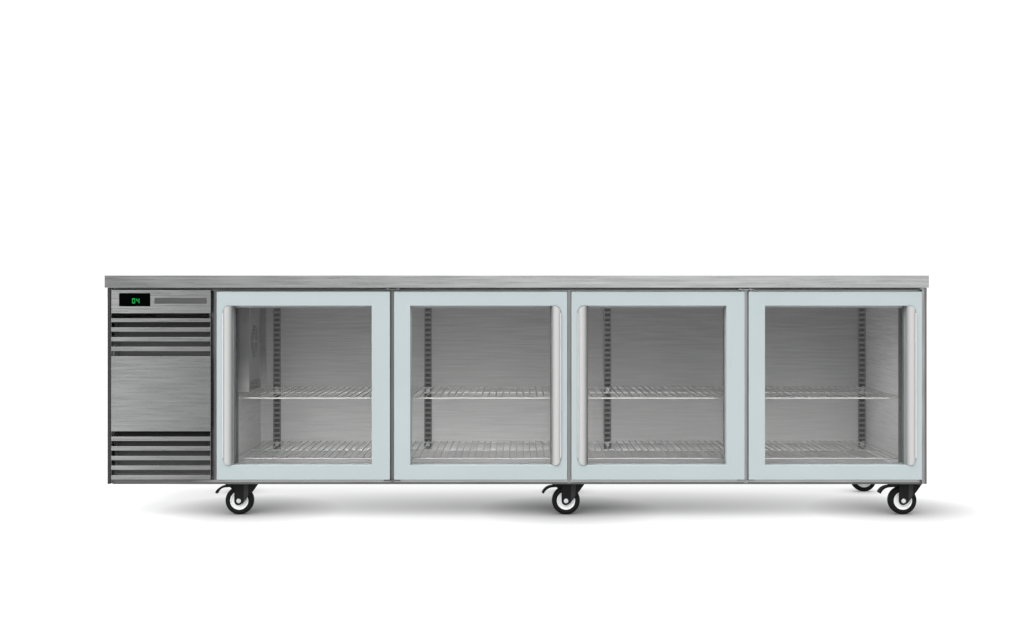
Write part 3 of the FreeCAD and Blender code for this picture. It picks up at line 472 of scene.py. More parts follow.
def pull_finish(name, colour, roughness):
    """Satin anodising with painted shade: light where the pull faces forwards and darker where it
    curls to the glass.
    """
    shader = Shader(name, colour, 0.0, roughness)
    shader.put("Specular IOR Level", 0.25)
    hairs = shader.noise((1500.0, 1500.0, 14.0), 2.0)
    # Painted shade: the colour falls to half as the pull turns away from facing forwards.
    forwards = shader.span(shader.facing("Y"), 1.0, 0.0, -1.0, -0.55)
    shader.colour(forwards, shade(colour, 0.5), colour)
    shader.bump(hairs, 0.01 * MM)
    return shader.material


def filter_lighter_at_foot(name, dark, light):
    """Black filter mesh that is lighter towards the foot of each bank of slots."""
    shader = Shader(name, dark, 0.0, 0.8)
    shader.put("Specular IOR Level", 0.1)
    height = shader.place("Z")
    upper_bank = shader.span(height, 0.0, 1.0, 0.56, 0.715)
    lower_bank = shader.span(height, 0.0, 1.0, 0.15, 0.31)
    between = shader.span(height, 0.0, 1.0, 0.42, 0.43)
    level = shader.node("Mix")
    shader.links.new(between, level.inputs["Factor"])
    shader.links.new(lower_bank, level.inputs["A"])
    shader.links.new(upper_bank, level.inputs["B"])
    weave = shader.noise(1200.0, 1.0)
    shader.colour(level.outputs["Result"], light, dark)
    shader.bump(weave, 0.4 * MM)
    return shader.material


def dark_window(name):
    """The black display window, which reflects next to nothing."""
    shader = Shader(name, (0.0, 0.0, 0.0), 0.0, 0.3)
    shader.put("Specular IOR Level", 0.02)
    smears = shader.noise(40.0, 2.0)
    shader.rough(smears, 0.25, 0.35)
    return shader.material


def foam(name, colour):
    """Cut insulating foam."""
    shader = Shader(name, colour, 0.0, 0.9)
    cells = shader.noise(400.0, 4.0)
    shader.colour(shader.span(cells), shade(colour, 0.8), shade(colour, 1.05))
    shader.bump(cells, 0.6 * MM)
    return shader.material


def clear_glass(name):
    """A thin pane: light goes straight through, with a weak reflection."""
    shader = Shader(name, (1, 1, 1), 0.0, 0.05)
    nodes, links = shader.nodes, shader.links
    nodes.remove(shader.bsdf)
    clear = shader.node("BsdfTransparent", Color=(0.986, 0.985, 0.985, 1.0))
    gloss = shader.node("BsdfGlossy", Color=(1, 1, 1, 1))
    smears = shader.noise((9.0, 9.0, 5.0), 3.0)
    links.new(shader.span(smears, 0.02, 0.06), gloss.inputs["Roughness"])
    fresnel = shader.node("Fresnel", IOR=1.22)
    mix = shader.node("MixShader")
    links.new(fresnel.outputs["Fac"], mix.inputs["Fac"])
    links.new(clear.outputs["BSDF"], mix.inputs[1])
    links.new(gloss.outputs["BSDF"], mix.inputs[2])
    links.new(mix.outputs["Shader"], nodes["Material Output"].inputs["Surface"])
    return shader.material


def lit_digits(name):
    shader = Shader(name, (0.0, 0.14, 0.03), 0.0, 0.4)
    shader.put("Specular IOR Level", 0.1)
    glow = shader.noise(900.0, 1.0)
    shader.colour(shader.span(glow), (0.0, 0.12, 0.02), (0.0, 0.16, 0.03))
    shader.put("Emission Color", (0.0, 0.5, 0.08, 1.0))
    shader.put("Emission Strength", 0.8)
    return shader.material


STEEL = (0.385, 0.389, 0.388)
FINISHES = {
    "stainless": (brushed, STEEL, 0.28, "X"),
    # Painted shade: the worktop darkens towards its left end.
    "worktop": (graded_steel, STEEL, 0.28, "TOP", 0.68, 0.1, -1.4),
    # Painted shade: the lip darkens at its far left end, and the foot is a darker copy of the steel
    # for the shade along the bottom.
    "skirt_lip": (graded_steel, shade(STEEL, 0.9), 0.4, "X", 0.35, -1.0, -1.15),
    "skirt_foot": (brushed, shade(STEEL, 0.31), 0.5, "X"),
    # Painted shade: a darker copy of the steel for the shaded recesses, darker still towards the
    # left.
    "gap_strip": (graded_steel, shade(STEEL, 0.78), 0.4, "Z", 0.42, 0.5, -0.55),
    # Painted light and shade: the bay a darker copy and the fascia a lighter copy of one steel,
    # both darker towards the bay's right side.
    "bay_steel": (graded_steel, shade(STEEL, 0.79), 0.28, "X", 0.66, -1.38, -1.10),
    "fascia_steel": (graded_steel, shade(STEEL, 0.95), 0.28, "X", 0.66, -1.38, -1.10),
    # Painted shade: the edgings stand for the shade down the front corners, a very dark copy of the
    # steel on the left and on the right steel that darkens towards its outer side.
    "edging_left": (brushed, shade(STEEL, 0.13), 0.4, "Z", 0.08),
    "edging_right": (graded_steel, shade(STEEL, 0.75), 0.4, "Z", 0.2, 1.426, 1.439),
    "shadow_gap": (painted, (0.42, 0.42, 0.42), 0.7),
    # Painted light and shade: the lit bottom colour and the shaded top colour of the liner.
    "liner": (liner_steel, (0.76, 0.765, 0.76), (0.33, 0.332, 0.33)),
    # Painted shade on the upper front of the cover.
    "cover": (cover_finish, (0.27, 0.272, 0.27)),
    "galvanised": (galvanised, (0.52, 0.53, 0.54)),
    "strip_steel": (brushed, (0.17, 0.172, 0.17), 0.4, "Z", 0.06, 0.5),
    # Painted shade: a near-black plate for the dark inside of the shelf strips.
    "strip_hollow": (painted, (0.02, 0.02, 0.02), 0.7),
    "wire": (plated, (0.7, 0.7, 0.695), 0.34),
    "foam": (foam, (0.78, 0.66, 0.42)),
    "door_paint": (painted, (0.281, 0.32, 0.326), 0.5),
    # Painted shade on the pull where it curls to the glass.
    "pull": (pull_finish, (0.33, 0.33, 0.328), 0.4),
    # Painted highlight: the bead is lighter than the pull.
    "bead": (painted, (0.5, 0.5, 0.5), 0.3),
    "pane": (clear_glass,),
    "spacer": (brushed, (0.33, 0.34, 0.34), 0.5, "X", 0.05),
    "glazing_bead": (painted, (0.13, 0.13, 0.13), 0.5),
    "seal": (moulded, (0.16, 0.165, 0.165), 0.55, 500.0, 0.04),
    "display": (dark_window,),
    "digits": (lit_digits,),
    "badge": (brushed, (0.09, 0.092, 0.09), 0.4, "X", 0.1),
    "black_steel": (moulded, (0.005, 0.005, 0.005), 0.45, 700.0, 0.06, 0.08, 0.12),
    # Painted highlight: a lighter black for the fork ribs.
    "worn_steel": (moulded, (0.022, 0.022, 0.022), 0.45, 700.0, 0.06, 0.08, 0.15),
    "tyre": (moulded, (0.005, 0.005, 0.005), 0.6, 600.0, 0.08, 0.08, 0.1),
    "hub": (moulded, (0.66, 0.675, 0.675), 0.35, 500.0, 0.02, 0.03),
    "zinc": (plated, (0.66, 0.67, 0.68), 0.3),
    "fins": (brushed, (0.7, 0.71, 0.72), 0.4, "Z", 0.08),
    "filter": (filter_lighter_at_foot, (0.007, 0.007, 0.007), (0.095, 0.095, 0.095)),
    "copper": (plated, (0.72, 0.33, 0.2), 0.3),
    "black_plastic": (moulded, (0.02, 0.02, 0.021), 0.45),
    "grey_plastic": (moulded, (0.36, 0.37, 0.37), 0.5),
}
MATERIALS = {name: make(name, *values) for name, (make, *values) in FINISHES.items()}


# ---- body
def worktop():
    """A folded tray with rounded front edges and a hem turned under."""
    low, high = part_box("worktop")
    bm = bmesh.new()
    skin = 1.5 * MM
    bend = 0.4 * MM
    radii = [3 * MM] * 4
    limits = (low.x, high.x, low.y, high.y)

    def level(inset, z):
        return [Vector((x, y, z)) for x, y in inset_outline(limits, radii, inset)]

    loops = [level(skin + 12 * MM, low.z - 0.1 * MM), level(1.2 * MM, low.z),
             level(0.3 * MM, low.z + 0.6 * MM), level(0.0, low.z + 1.6 * MM)]
    for sideways, upwards in quarter_round(bend):
        loops.append(level(sideways, high.z - bend + upwards))
    add_loops(bm, loops + [level(40 * MM, high.z)])
    new_piece("worktop_tray", bm, "cabinet", "worktop", ("worktop",), 60)


def keep_cad_nodes():
    """CAD nodes whose shape is right get their finish."""
    finishes = {
        "face_frame": "gap_strip", "inner_liner": "liner", "insulation": "foam",
        "shelf_strips": "strip_steel", "shelf_clips": "zinc", "base_panel": "galvanised",
        "unit_tray": "galvanised", "back_panel": "galvanised", "top_deck": "shadow_gap",
        "compressor": "black_steel", "condenser_coil": "fins", "evaporator_coil": "fins",
        "fan_shroud": "black_plastic", "condenser_fan": "black_plastic",
        "evaporator_fan": "black_plastic", "evaporator_cover": "cover",
        "refrigerant_pipes": "copper", "control_box": "grey_plastic", "air_filter": "filter",
        "castor_plates": "zinc", "fasteners": "zinc", "hinge_brackets": "gap_strip",
    }
    for node, finish in finishes.items():
        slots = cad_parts[node].data.materials
        for index in range(len(slots)):
            slots[index] = MATERIALS[finish]


def side_panels():
    """The side skins, and the edging down the front of each, turned in under the worktop and
    coloured dark as painted shade.
    """
    softened("side_panels", "cabinet", "stainless", 0.5 * MM)
    low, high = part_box("side_panels")
    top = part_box("worktop")[0].z - 0.3 * MM
    proud, overlap, turned_in = 11 * MM, 0.7 * MM, 5.7 * MM
    for name, edge, inwards, width, lap in (("left", low.x, 1, 8.6 * MM, 2 * MM),
                                            ("right", high.x, -1, 11.8 * MM, 4.5 * MM)):
        inside = edge + inwards * width
        bm = bmesh.new()
        x0, x1 = sorted((edge - inwards * lap, inside))
        add_box(bm, (x0, low.y - proud, low.z), (x1, low.y - 0.1 * MM, top), 0.8 * MM)
        x0, x1 = sorted((inside - inwards * overlap, inside + inwards * turned_in))
        add_box(bm, (x0, low.y - proud + 1 * MM, high.z + 0.5 * MM), (x1, low.y - 0.1 * MM, top),
                0.4 * MM)
        new_piece(f"side_edging_{name}", bm, "cabinet", f"edging_{name}")


def skirt():
    """The two bands under the doors: a light lip and the foot below it, darker as painted shade."""
    frame_low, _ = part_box("face_frame")
    door_low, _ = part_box("door_frame_1")
    side_low, side_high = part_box("side_panels")
    left, right = side_low.x + 11.2 * MM, side_high.x - 11.2 * MM
    foot, lip, top = frame_low.z, frame_low.z + 7 * MM, door_low.z - 2 * MM
    back = frame_low.y + 1.4 * MM
    for name, z0, z1 in (("skirt_foot", foot, lip), ("skirt_lip", lip, top)):
        box_piece(name, (left, back - 1.1 * MM, z0), (right, back, z1), 0.4 * MM,
                  "cabinet", name)


# ---- doors
PULL_CORNER = 25 * MM


class Door:
    """The sizes of one door, read from the frame."""

    def __init__(self, number):
        self.number = number
        self.body = f"door_{number}"
        self.low, self.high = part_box(f"door_frame_{number}")
        self.window_low, self.window_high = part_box(f"door_glass_{number}")
        self.handle_low, self.handle_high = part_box(f"door_handle_{number}")
        self.handle_on_left = number % 2 == 1

    def recess(self):
        """The opening in the front face: the window and the handle pocket beside it."""
        if self.handle_on_left:
            return (self.handle_low.x - 0.3 * MM, self.window_high.x,
                    self.window_low.z, self.window_high.z)
        return (self.window_low.x, self.handle_high.x + 0.3 * MM,
                self.window_low.z, self.window_high.z)

    def recess_radii(self):
        """Large corners on the handle side, tight ones beside the hinges."""
        large, tight = PULL_CORNER, 0.8 * MM
        if self.handle_on_left:
            return [large, tight, tight, large]
        return [tight, large, large, tight]


def door_shell(door):
    """The pressed door frame with rounded edges round the outside and the opening."""
    bm = bmesh.new()
    outer = (door.low.x, door.high.x, door.low.z, door.high.z)
    outer_radii = [1.5 * MM] * 4
    opening = door.recess()
    radii = door.recess_radii()
    front, back = door.low.y, door.high.y
    edge = 1.5 * MM
    loops = [ring(outer, outer_radii, 1 * MM, back),
             ring(outer, outer_radii, 0, back - 1 * MM)]
    for sideways, forwards in quarter_round(edge):
        loops.append(ring(outer, outer_radii, sideways, front + edge - forwards))
    for sideways, forwards in reversed(quarter_round(edge)):
        loops.append(ring(opening, radii, -sideways, front + edge - forwards))
    loops.append(ring(opening, radii, 0, back - 0.5 * MM))
    loops.append(ring(opening, radii, -0.5 * MM, back))
    add_loops(bm, loops, closed=True)
    add_pocket_floor(bm, door)
    new_piece(f"door_shell_{door.number}", bm, door.body, "door_paint",
              (f"door_frame_{door.number}",), 50)


def add_pocket_floor(bm, door):
    """The plate behind the handle, between the stile and the glass."""
    x0, x1, z0, z1 = door.recess()
    large, tight = PULL_CORNER, 0.3 * MM
    if door.handle_on_left:
        limits = (x0, door.window_low.x, z0, z1)
        radii = [large, tight, tight, large]
    else:
        limits = (door.window_high.x, x1, z0, z1)
        radii = [tight, large, large, tight]
    front = door.window_low.y
    add_loops(bm, [ring(limits, radii, 0.1 * MM, front + 0.2 * MM),
                   ring(limits, radii, 0.1 * MM, door.high.y - 0.5 * MM)])


def door_glazing(door):
    """Two panes with softened rims, and the spacer between them."""
    low, high = door.window_low, door.window_high
    pane = 4 * MM
    bm = bmesh.new()
    gap = 0.2 * MM
    for y in (low.y, high.y - pane):
        add_box(bm, (low.x + gap, y, low.z + gap), (high.x - gap, y + pane, high.z - gap),
                0.5 * MM, 1)
    new_piece(f"door_panes_{door.number}", bm, door.body, "pane",
              (f"door_glass_{door.number}",))
    bm = bmesh.new()
    limits = (low.x + gap, high.x - gap, low.z + gap, high.z - gap)
    bar, top_bar = 3 * MM, 7 * MM
    inner = (low.x + bar, high.x - bar, low.z + bar, high.z - top_bar)
    tight = [0.3 * MM] * 4
    y0, y1 = low.y + pane + 0.05 * MM, high.y - pane - 0.05 * MM
    add_loops(bm, [ring(limits, tight, 0, y0), ring(inner, tight, 0, y0),
                   ring(inner, tight, 0, y1), ring(limits, tight, 0, y1)], closed=True)
    new_piece(f"door_spacer_{door.number}", bm, door.body, "spacer")
    edge, inwards = (low.x, 1) if door.handle_on_left else (high.x, -1)
    sides = sorted((edge + inwards * gap, edge + inwards * 4.5 * MM))
    box_piece(f"glazing_bead_{door.number}", (sides[0], low.y - 1 * MM, low.z + gap),
              (sides[1], low.y - 0.1 * MM, high.z - gap), 0.3 * MM, door.body,
              "glazing_bead")


def door_seal(door):
    """A soft magnetic seal: a hollow-looking bellows section run round the back of the door."""
    low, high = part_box(f"door_gasket_{door.number}")
    limits = (low.x, high.x, low.z, high.z)
    radii = [3 * MM] * 4
    width = 14 * MM
    depth = high.y - low.y
    section = [(0.5, 0.0), (0.5, 0.25), (0.0, 0.4), (0.0, 0.62), (2.2, 0.72), (1.4, 0.86),
               (2.6, 1.0), (11.4, 1.0), (12.6, 0.86), (11.8, 0.72), (14.0, 0.62), (14.0, 0.4),
               (13.5, 0.25), (13.5, 0.0)]
    bm = bmesh.new()
    loops = [ring(limits, radii, inset / 14 * width, low.y + along * depth)
             for inset, along in section]
    add_loops(bm, loops, closed=True)
    new_piece(f"door_seal_{door.number}", bm, door.body, "seal",
              (f"door_gasket_{door.number}",), 25)


def handle_section(door):
    """The pull's section as (x, y): the outer face, then the inner face back to the start."""
    low, high = door.handle_low, door.handle_high
    if door.handle_on_left:
        edge, towards_glass = low.x, 1
    else:
        edge, towards_glass = high.x, -1
    floor = high.y - 0.2 * MM
    crest = low.y
    width = high.x - low.x
    shoulder = crest + 7 * MM
    lip = crest + 14 * MM
    outer = [(0.0, floor), (0.0, shoulder)]
    outer += arc_points((0.0, shoulder), (11.7 * MM, crest), (width - 0.3 * MM, lip), 20)
    inner = [(width - 1.0 * MM, lip + 2.4 * MM)]
    inner += arc_points(inner[0], (12.7 * MM, crest + 3 * MM), (3 * MM, shoulder + 3 * MM), 20)
    inner.append((3 * MM, floor))
    return [(edge + towards_glass * u, y) for u, y in outer + inner], edge, towards_glass


def door_handle(door):
    """A full-height pull whose outer corners follow the round corners of the recess."""
    section, edge, towards_glass = handle_section(door)
    low, high = door.handle_low.z, door.handle_high.z
    corner = PULL_CORNER

    def trimmed(x):
        reach = corner - abs(x - edge)
        if reach <= 0:
            return 0.0
        return corner - math.sqrt(max(corner**2 - reach**2, 0.0))

    bm = bmesh.new()
    lower = [Vector((x, y, low + trimmed(x))) for x, y in section]
    upper = [Vector((x, y, high - trimmed(x))) for x, y in section]
    rings = [[bm.verts.new(point) for point in loop] for loop in (lower, upper)]
    count = len(section)
    for index in range(count):
        after = (index + 1) % count
        bm.faces.new((rings[0][index], rings[0][after], rings[1][after], rings[1][index]))
    for end in rings:
        for index in range(count // 2 - 1):
            bm.faces.new((end[index], end[index + 1], end[count - 2 - index],
                          end[count - 1 - index]))
    new_piece(f"door_pull_{door.number}", bm, door.body, "pull",
              (f"door_handle_{door.number}",), 40)
    pull_bead(door, edge, towards_glass, low + corner, high - corner)


def pull_bead(door, edge, towards_glass, low, high):
    """A bead down the outer edge of the pull, lighter than the pull as a painted highlight along
    that edge.
    """
    sides = sorted((edge, edge + towards_glass * 3.0 * MM))
    front = door.handle_low.y + 1 * MM
    box_piece(f"pull_bead_{door.number}", (sides[0], front, low), (sides[1], front + 6 * MM, high),
              0.8 * MM, door.body, "bead")


def doors():
    for number in DOORS:
        door = Door(number)
        door_shell(door)
        door_glazing(door)
        door_seal(door)
        door_handle(door)


# ---- machine bay front
EDGE_LAP = 3 * MM
DISPLAY_WINDOW = (-1397.0 * MM, -1287.5 * MM, 741.5 * MM, 788.0 * MM)


def fascia():
    """The folded control panel with its window, the display and the blank badge strip."""
    low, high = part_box("control_fascia")
    window_low, window_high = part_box("display_module")
    sheet = 1.2 * MM
    window = DISPLAY_WINDOW
    limits = (low.x - EDGE_LAP, high.x, low.z, high.z)
    bend = [1.5 * MM] * 4
    tight = [0.8 * MM] * 4
    bm = bmesh.new()
    loops = [ring(limits, bend, 0, high.y)]
    for sideways, forwards in quarter_round(2 * MM):
        loops.append(ring(limits, bend, sideways, low.y + 2 * MM - forwards))
    for sideways, forwards in reversed(quarter_round(0.5 * MM, 2)):
        loops.append(ring(window, tight, -sideways, low.y + 0.5 * MM - forwards))
    loops.append(ring(window, tight, 0, low.y + sheet))
    loops.append(ring(limits, bend, 2 * MM, low.y + sheet))
    loops.append(ring(limits, bend, sheet, low.y + 2 * MM))
    loops.append(ring(limits, bend, sheet, high.y))
    add_loops(bm, loops, closed=True)
    new_piece("fascia_panel", bm, "cabinet", "fascia_steel", ("control_fascia",), 50)

    bm = bmesh.new()
    add_box(bm, (window[0] + 0.3 * MM, window_low.y, window[2] + 0.3 * MM),
            (window[1] - 0.3 * MM, low.y + sheet, window[3] - 0.3 * MM), 0.4 * MM)
    add_box(bm, (window_low.x, low.y + sheet + 0.05 * MM, window_low.z), window_high, 1.5 * MM)
    new_piece("display_window", bm, "cabinet", "display", ("display_module",))
    digits(window_low.y)

    low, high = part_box("badge_strip")
    box_piece("badge_plate", low, high, 0.5 * MM, "cabinet", "badge", ("badge_strip",))


def digits(front):
    """A generic temperature on the display: seven-segment figures that read 04."""
    height, width, bar = 18 * MM, 10.5 * MM, 2.3 * MM
    left, _, bottom, top = DISPLAY_WINDOW
    first, pitch = left + 46 * MM, 15 * MM
    base = (bottom + top) / 2 - height / 2 - 4 * MM
    half = height / 2
    segments = {
        "top": (bar, width - bar, height - bar, height),
        "middle": (bar, width - bar, half - bar / 2, half + bar / 2),
        "bottom": (bar, width - bar, 0, bar),
        "upper_left": (0, bar, half + bar / 2, height - bar / 2),
        "upper_right": (width - bar, width, half + bar / 2, height - bar / 2),
        "lower_left": (0, bar, bar / 2, half - bar / 2),
        "lower_right": (width - bar, width, bar / 2, half - bar / 2),
    }
    figures = (("top", "bottom", "upper_left", "upper_right", "lower_left", "lower_right"),
               ("middle", "upper_left", "upper_right", "lower_right"))
    bm = bmesh.new()
    for place, lit in enumerate(figures):
        x = first + place * pitch
        for name in lit:
            x0, x1, z0, z1 = segments[name]
            add_box(bm, (x + x0, front - 0.15 * MM, base + z0),
                    (x + x1, front + 0.2 * MM, base + z1), 0.1 * MM, 1)
    new_piece("display_digits", bm, "cabinet", "digits")


SLOT_HEIGHT = 19.0 * MM
LOUVRE_PITCH = 33.9 * MM
UPPER_BANK_TOP = 686.3 * MM
LOWER_BANK_TOP = 302.6 * MM
TOP_SLOT = 16.0 * MM


def louvre_slots(top):
    """The lower and upper edge of each slot, from the top down."""
    slots = [(top - TOP_SLOT, top)]
    for bank_top, count in ((UPPER_BANK_TOP, 4), (LOWER_BANK_TOP, 5)):
        for index in range(count):
            upper = bank_top - index * LOUVRE_PITCH
            slots.append((upper - SLOT_HEIGHT, upper))
    return slots


def grille():
    """The lift-off panel: flat bars with rolled lips between the slots, and a folded rim."""
    low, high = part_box("front_grille")
    slots = louvre_slots(high.z)
    bars = [(lower[1], upper[0]) for upper, lower in zip(slots, slots[1:])]
    bars.append((low.z, slots[-1][0]))
    bm = bmesh.new()
    roll = 0.6 * MM
    sheet = 0.5 * MM
    outside = low.x - EDGE_LAP
    left, right = outside + 1.5 * MM, high.x - 1.5 * MM
    for bottom, top in bars:
        front = [(low.y + roll - forwards, bottom + sideways)
                 for sideways, forwards in quarter_round(roll)]
        front += [(low.y + roll - forwards, top - sideways)
                  for sideways, forwards in reversed(quarter_round(roll))]
        outer = [(low.y + 7 * MM, bottom + 1 * MM)] + front + [(low.y + 7 * MM, top - 1 * MM)]
        inner = [(low.y + 7 * MM, top - 1 * MM - sheet), (low.y + roll, top - sheet),
                 (low.y + sheet, top - roll), (low.y + sheet, bottom + roll),
                 (low.y + roll, bottom + sheet), (low.y + 7 * MM, bottom + 1 * MM + sheet)]
        section = outer + inner
        add_loops(bm, [[Vector((x, y, z)) for y, z in section] for x in (left, right)])
    for x0, x1 in ((outside, left), (right, high.x)):
        add_box(bm, (x0, low.y, low.z), (x1, high.y, high.z), 0.5 * MM)
    new_piece("grille_panel", bm, "grille", "bay_steel", ("front_grille",), 50)


# ---- shelves
def shelf(left, right, level, front, back):
    """Wires from front to back over three long rods."""
    wire, rod_radius, pitch = 2.0 * MM, 3.0 * MM, 25.0 * MM
    bm = bmesh.new()
    rod_level = level - wire - rod_radius + 0.5 * MM
    for y in (front + 6 * MM, (front + back) / 2, back - 6 * MM):
        add_tube(bm, [(left, y, rod_level), (right, y, rod_level)], rod_radius, 14)
    count = int((right - left - 12 * MM) / pitch)
    first = (left + right) / 2 - count * pitch / 2
    for step in range(count + 1):
        x = first + step * pitch
        add_tube(bm, [(x, front, level), (x, back, level)], wire, 10)
    return bm


# Where the middle of each rear shelf strip stands in X.
BACK_STRIPS = [place * MM for place in (-956, -472, -354, 150, 361, 839, 905, 1375)]


def strip_hollows():
    """A near-black plate inside each rear shelf strip, seen through its slots: painted shade for
    the strip's dark inside.
    """
    low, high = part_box("shelf_strips")
    half = 13 * MM
    for number, middle in enumerate(BACK_STRIPS, start=1):
        bm = bmesh.new()
        add_box(bm, (middle - half, high.y - 3.2 * MM, low.z + 4 * MM),
                (middle + half, high.y - 2.0 * MM, high.z - 4 * MM), 0.3 * MM, 1)
        new_piece(f"strip_hollow_{number}", bm, "cabinet", "strip_hollow")


def shelves():
    """The eight wire shelves, found from the CAD shelves' own extents."""
    low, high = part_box("wire_shelves")
    wire, rods, side_gap, half_door_gap = 2 * MM, 5.5 * MM, 5 * MM, 7.25 * MM
    levels = [low.z + rods + wire, high.z - wire]
    doors_low = [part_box(f"door_frame_{number}")[0].x for number in DOORS]
    middles = [x - half_door_gap for x in doors_low[1:]]
    edges = [low.x - side_gap] + middles + [high.x + side_gap]
    number = 0
    for level in levels:
        for left, right in zip(edges, edges[1:]):
            number += 1
            bm = shelf(left + side_gap, right - side_gap, level, low.y, high.y)
            nodes = ("wire_shelves",) if number == 1 else ()
            new_piece(f"wire_shelf_{number}", bm, "cabinet", "wire", nodes)


# ---- castors
def castor_fork(number):
    """The pressed crown, two legs with an embossed rib, and the axle bolt with its nut."""
    centre = middle_of(f"castor_wheel_{number}")
    x, y = centre.x, centre.y
    body = f"castor_{number}"
    trail = 24 * MM
    leg_inside, leg_outside = 19 * MM, 22.5 * MM
    crown_low, crown_high = 111 * MM, 117 * MM
    pin_hole, race = 6.05 * MM, 26 * MM
    race_low, race_high = 116.5 * MM, 120 * MM
    bm = bmesh.new()
    add_box(bm, (x - 16 * MM, y - leg_outside, crown_low),
            (x + 68 * MM, y + leg_outside, crown_high), 2.5 * MM, 3)
    add_lathe(bm, [(pin_hole, race_low), (race, race_low), (race, race_high - 1.4 * MM),
                   (race - 1.4 * MM, race_high), (pin_hole, race_high)],
              (x + trail, y, 0), "Z", 48, closed=True)
    outline = [(-16, 112), (-16, 50)]
    outline += arc_points((-16, 50), (-9, 37), (4, 36), 8)
    outline += [(15, 42), (32, 65), (47, 84), (67, 112)]
    leg = [(x + u * MM, z * MM) for u, z in outline]
    for side in (-1, 1):
        add_prism(bm, leg, y + side * leg_inside, y + side * leg_outside, 0.8 * MM)
    new_piece(f"fork_{number}", bm, body, "black_steel",
              (f"castor_fork_{number}",), 40)
    # The ribs are a lighter black than the legs: a painted highlight down each leg.
    bm = bmesh.new()
    rib = [(x + u * MM, z * MM) for u, z in ((18, 110), (18, 50), (33, 68), (35, 110))]
    for side in (-1, 1):
        add_prism(bm, rib, y + side * (leg_outside - 0.5 * MM), y + side * (leg_outside + 0.9 * MM),
                  0.6 * MM)
    new_piece(f"fork_ribs_{number}", bm, body, "worn_steel")
    bm = bmesh.new()
    add_hex_head(bm, (x, y - leg_outside, centre.z), 8 * MM, 4 * MM, -1)
    add_hex_head(bm, (x, y + leg_outside, centre.z), 9 * MM, 4 * MM, 1)
    shank, end = 5.9 * MM, leg_outside - 0.1 * MM
    add_lathe(bm, [(0, -end), (shank, -end), (shank, end), (0, end)], centre, "Y", 32)
    new_piece(f"axle_bolt_{number}", bm, body, "zinc")


def castor_wheel(number):
    """A rubber tyre with a crowned tread, and a dished hub."""
    low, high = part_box(f"castor_wheel_{number}")
    centre = (low + high) / 2
    body = f"wheel_{number}"
    outer = (high.z - low.z) / 2
    half = 16 * MM
    hub = 32.5 * MM
    flank = [(hub, half - 2 * MM), (hub + 3 * MM, half - 0.6 * MM), (hub + 6 * MM, half),
             (outer - 7 * MM, half), (outer - 2.5 * MM, half - 2 * MM),
             (outer - 0.5 * MM, half - 6 * MM)]
    tyre = [(radius, -along) for radius, along in flank] + [(outer, 0)] + flank[::-1]
    bm = bmesh.new()
    add_lathe(bm, tyre, centre, "Y", 72, closed=True)
    new_piece(f"tyre_{number}", bm, body, "tyre", (f"castor_wheel_{number}",), 30)
    bore, boss = 6.05 * MM, 12 * MM
    face = [(bore, half + 1.5 * MM), (boss * 0.94, half + 1.5 * MM), (boss, half + 0.8 * MM),
            (boss, half - 5 * MM), (boss + 1.5 * MM, half - 6 * MM),
            (hub - 5.5 * MM, half - 6 * MM), (hub - 4 * MM, half - 5 * MM),
            (hub - 3.4 * MM, half - 2.4 * MM), (hub - 2.6 * MM, half - 2 * MM),
            (hub - 0.2 * MM, half - 2 * MM)]
    profile = [(radius, -along) for radius, along in face] + face[::-1]
    bm = bmesh.new()
    add_lathe(bm, profile, centre, "Y", 64, closed=True)
    new_piece(f"hub_{number}", bm, body, "hub", (), 30)


def pedal(number):
    """The pressed brake lever: a flat neck that turns down to its tip."""
    centre = middle_of(f"castor_wheel_{number}")
    x, y = centre.x, centre.y
    upper = [(-17, 110), (-51, 110), (-45, 102.5)]
    upper += arc_points((-45, 102.5), (-66, 99), (-86, 78), 10)
    lower = [(-79, 74)] + arc_points((-79, 74), (-65, 91), (-45, 97), 10) + [(-30, 99), (-17, 97)]
    outline = [(x + u * MM, z * MM) for u, z in upper + lower]
    bm = bmesh.new()
    add_prism(bm, outline, y - 14 * MM, y + 14 * MM, 1.0 * MM)
    new_piece(f"pedal_lever_{number}", bm, f"pedal_{number}", "black_steel",
              (f"brake_pedal_{number}",), 40)


def castors():
    for number in CASTORS:
        castor_fork(number)
        castor_wheel(number)
        if number in FRONT_CASTORS:
            pedal(number)


# ---- setting, light and camera
TABLE_GLOW = 0.78
TABLE_SIZE = 150.0
CONTACT_REACH = 0.1
# Ovals of shade: the middle in X and Y, the reach in X and Y, and how deep the shade is.
OVAL_UNDER_FRIDGE = (0.2, -0.13, 1.65, 0.45, 0.7)
# The same for each front castor, with its middle counted from the middle of the wheel.
OVAL_AT_CASTOR = (0.015, 0.07, 0.34, 0.37, 0.78)


def open_to_light(shader, x, y, reach_x, reach_y, shade_depth):
    """1 outside a soft oval round (x, y), falling by shade_depth at its middle."""
    mapping = shader.node("Mapping", Scale=(reach_x, reach_y, 1.0))
    mapping.vector_type = "TEXTURE"
    mapping.inputs["Location"].default_value = (x, y, 0.0)
    shader.links.new(shader.coordinates, mapping.inputs["Vector"])
    gradient = shader.node("TexGradient")
    gradient.gradient_type = "SPHERICAL"
    shader.links.new(mapping.outputs["Vector"], gradient.inputs["Vector"])
    return shader.span(gradient.outputs["Fac"], 1.0, 1.0 - shade_depth, 0.0, 1.0)


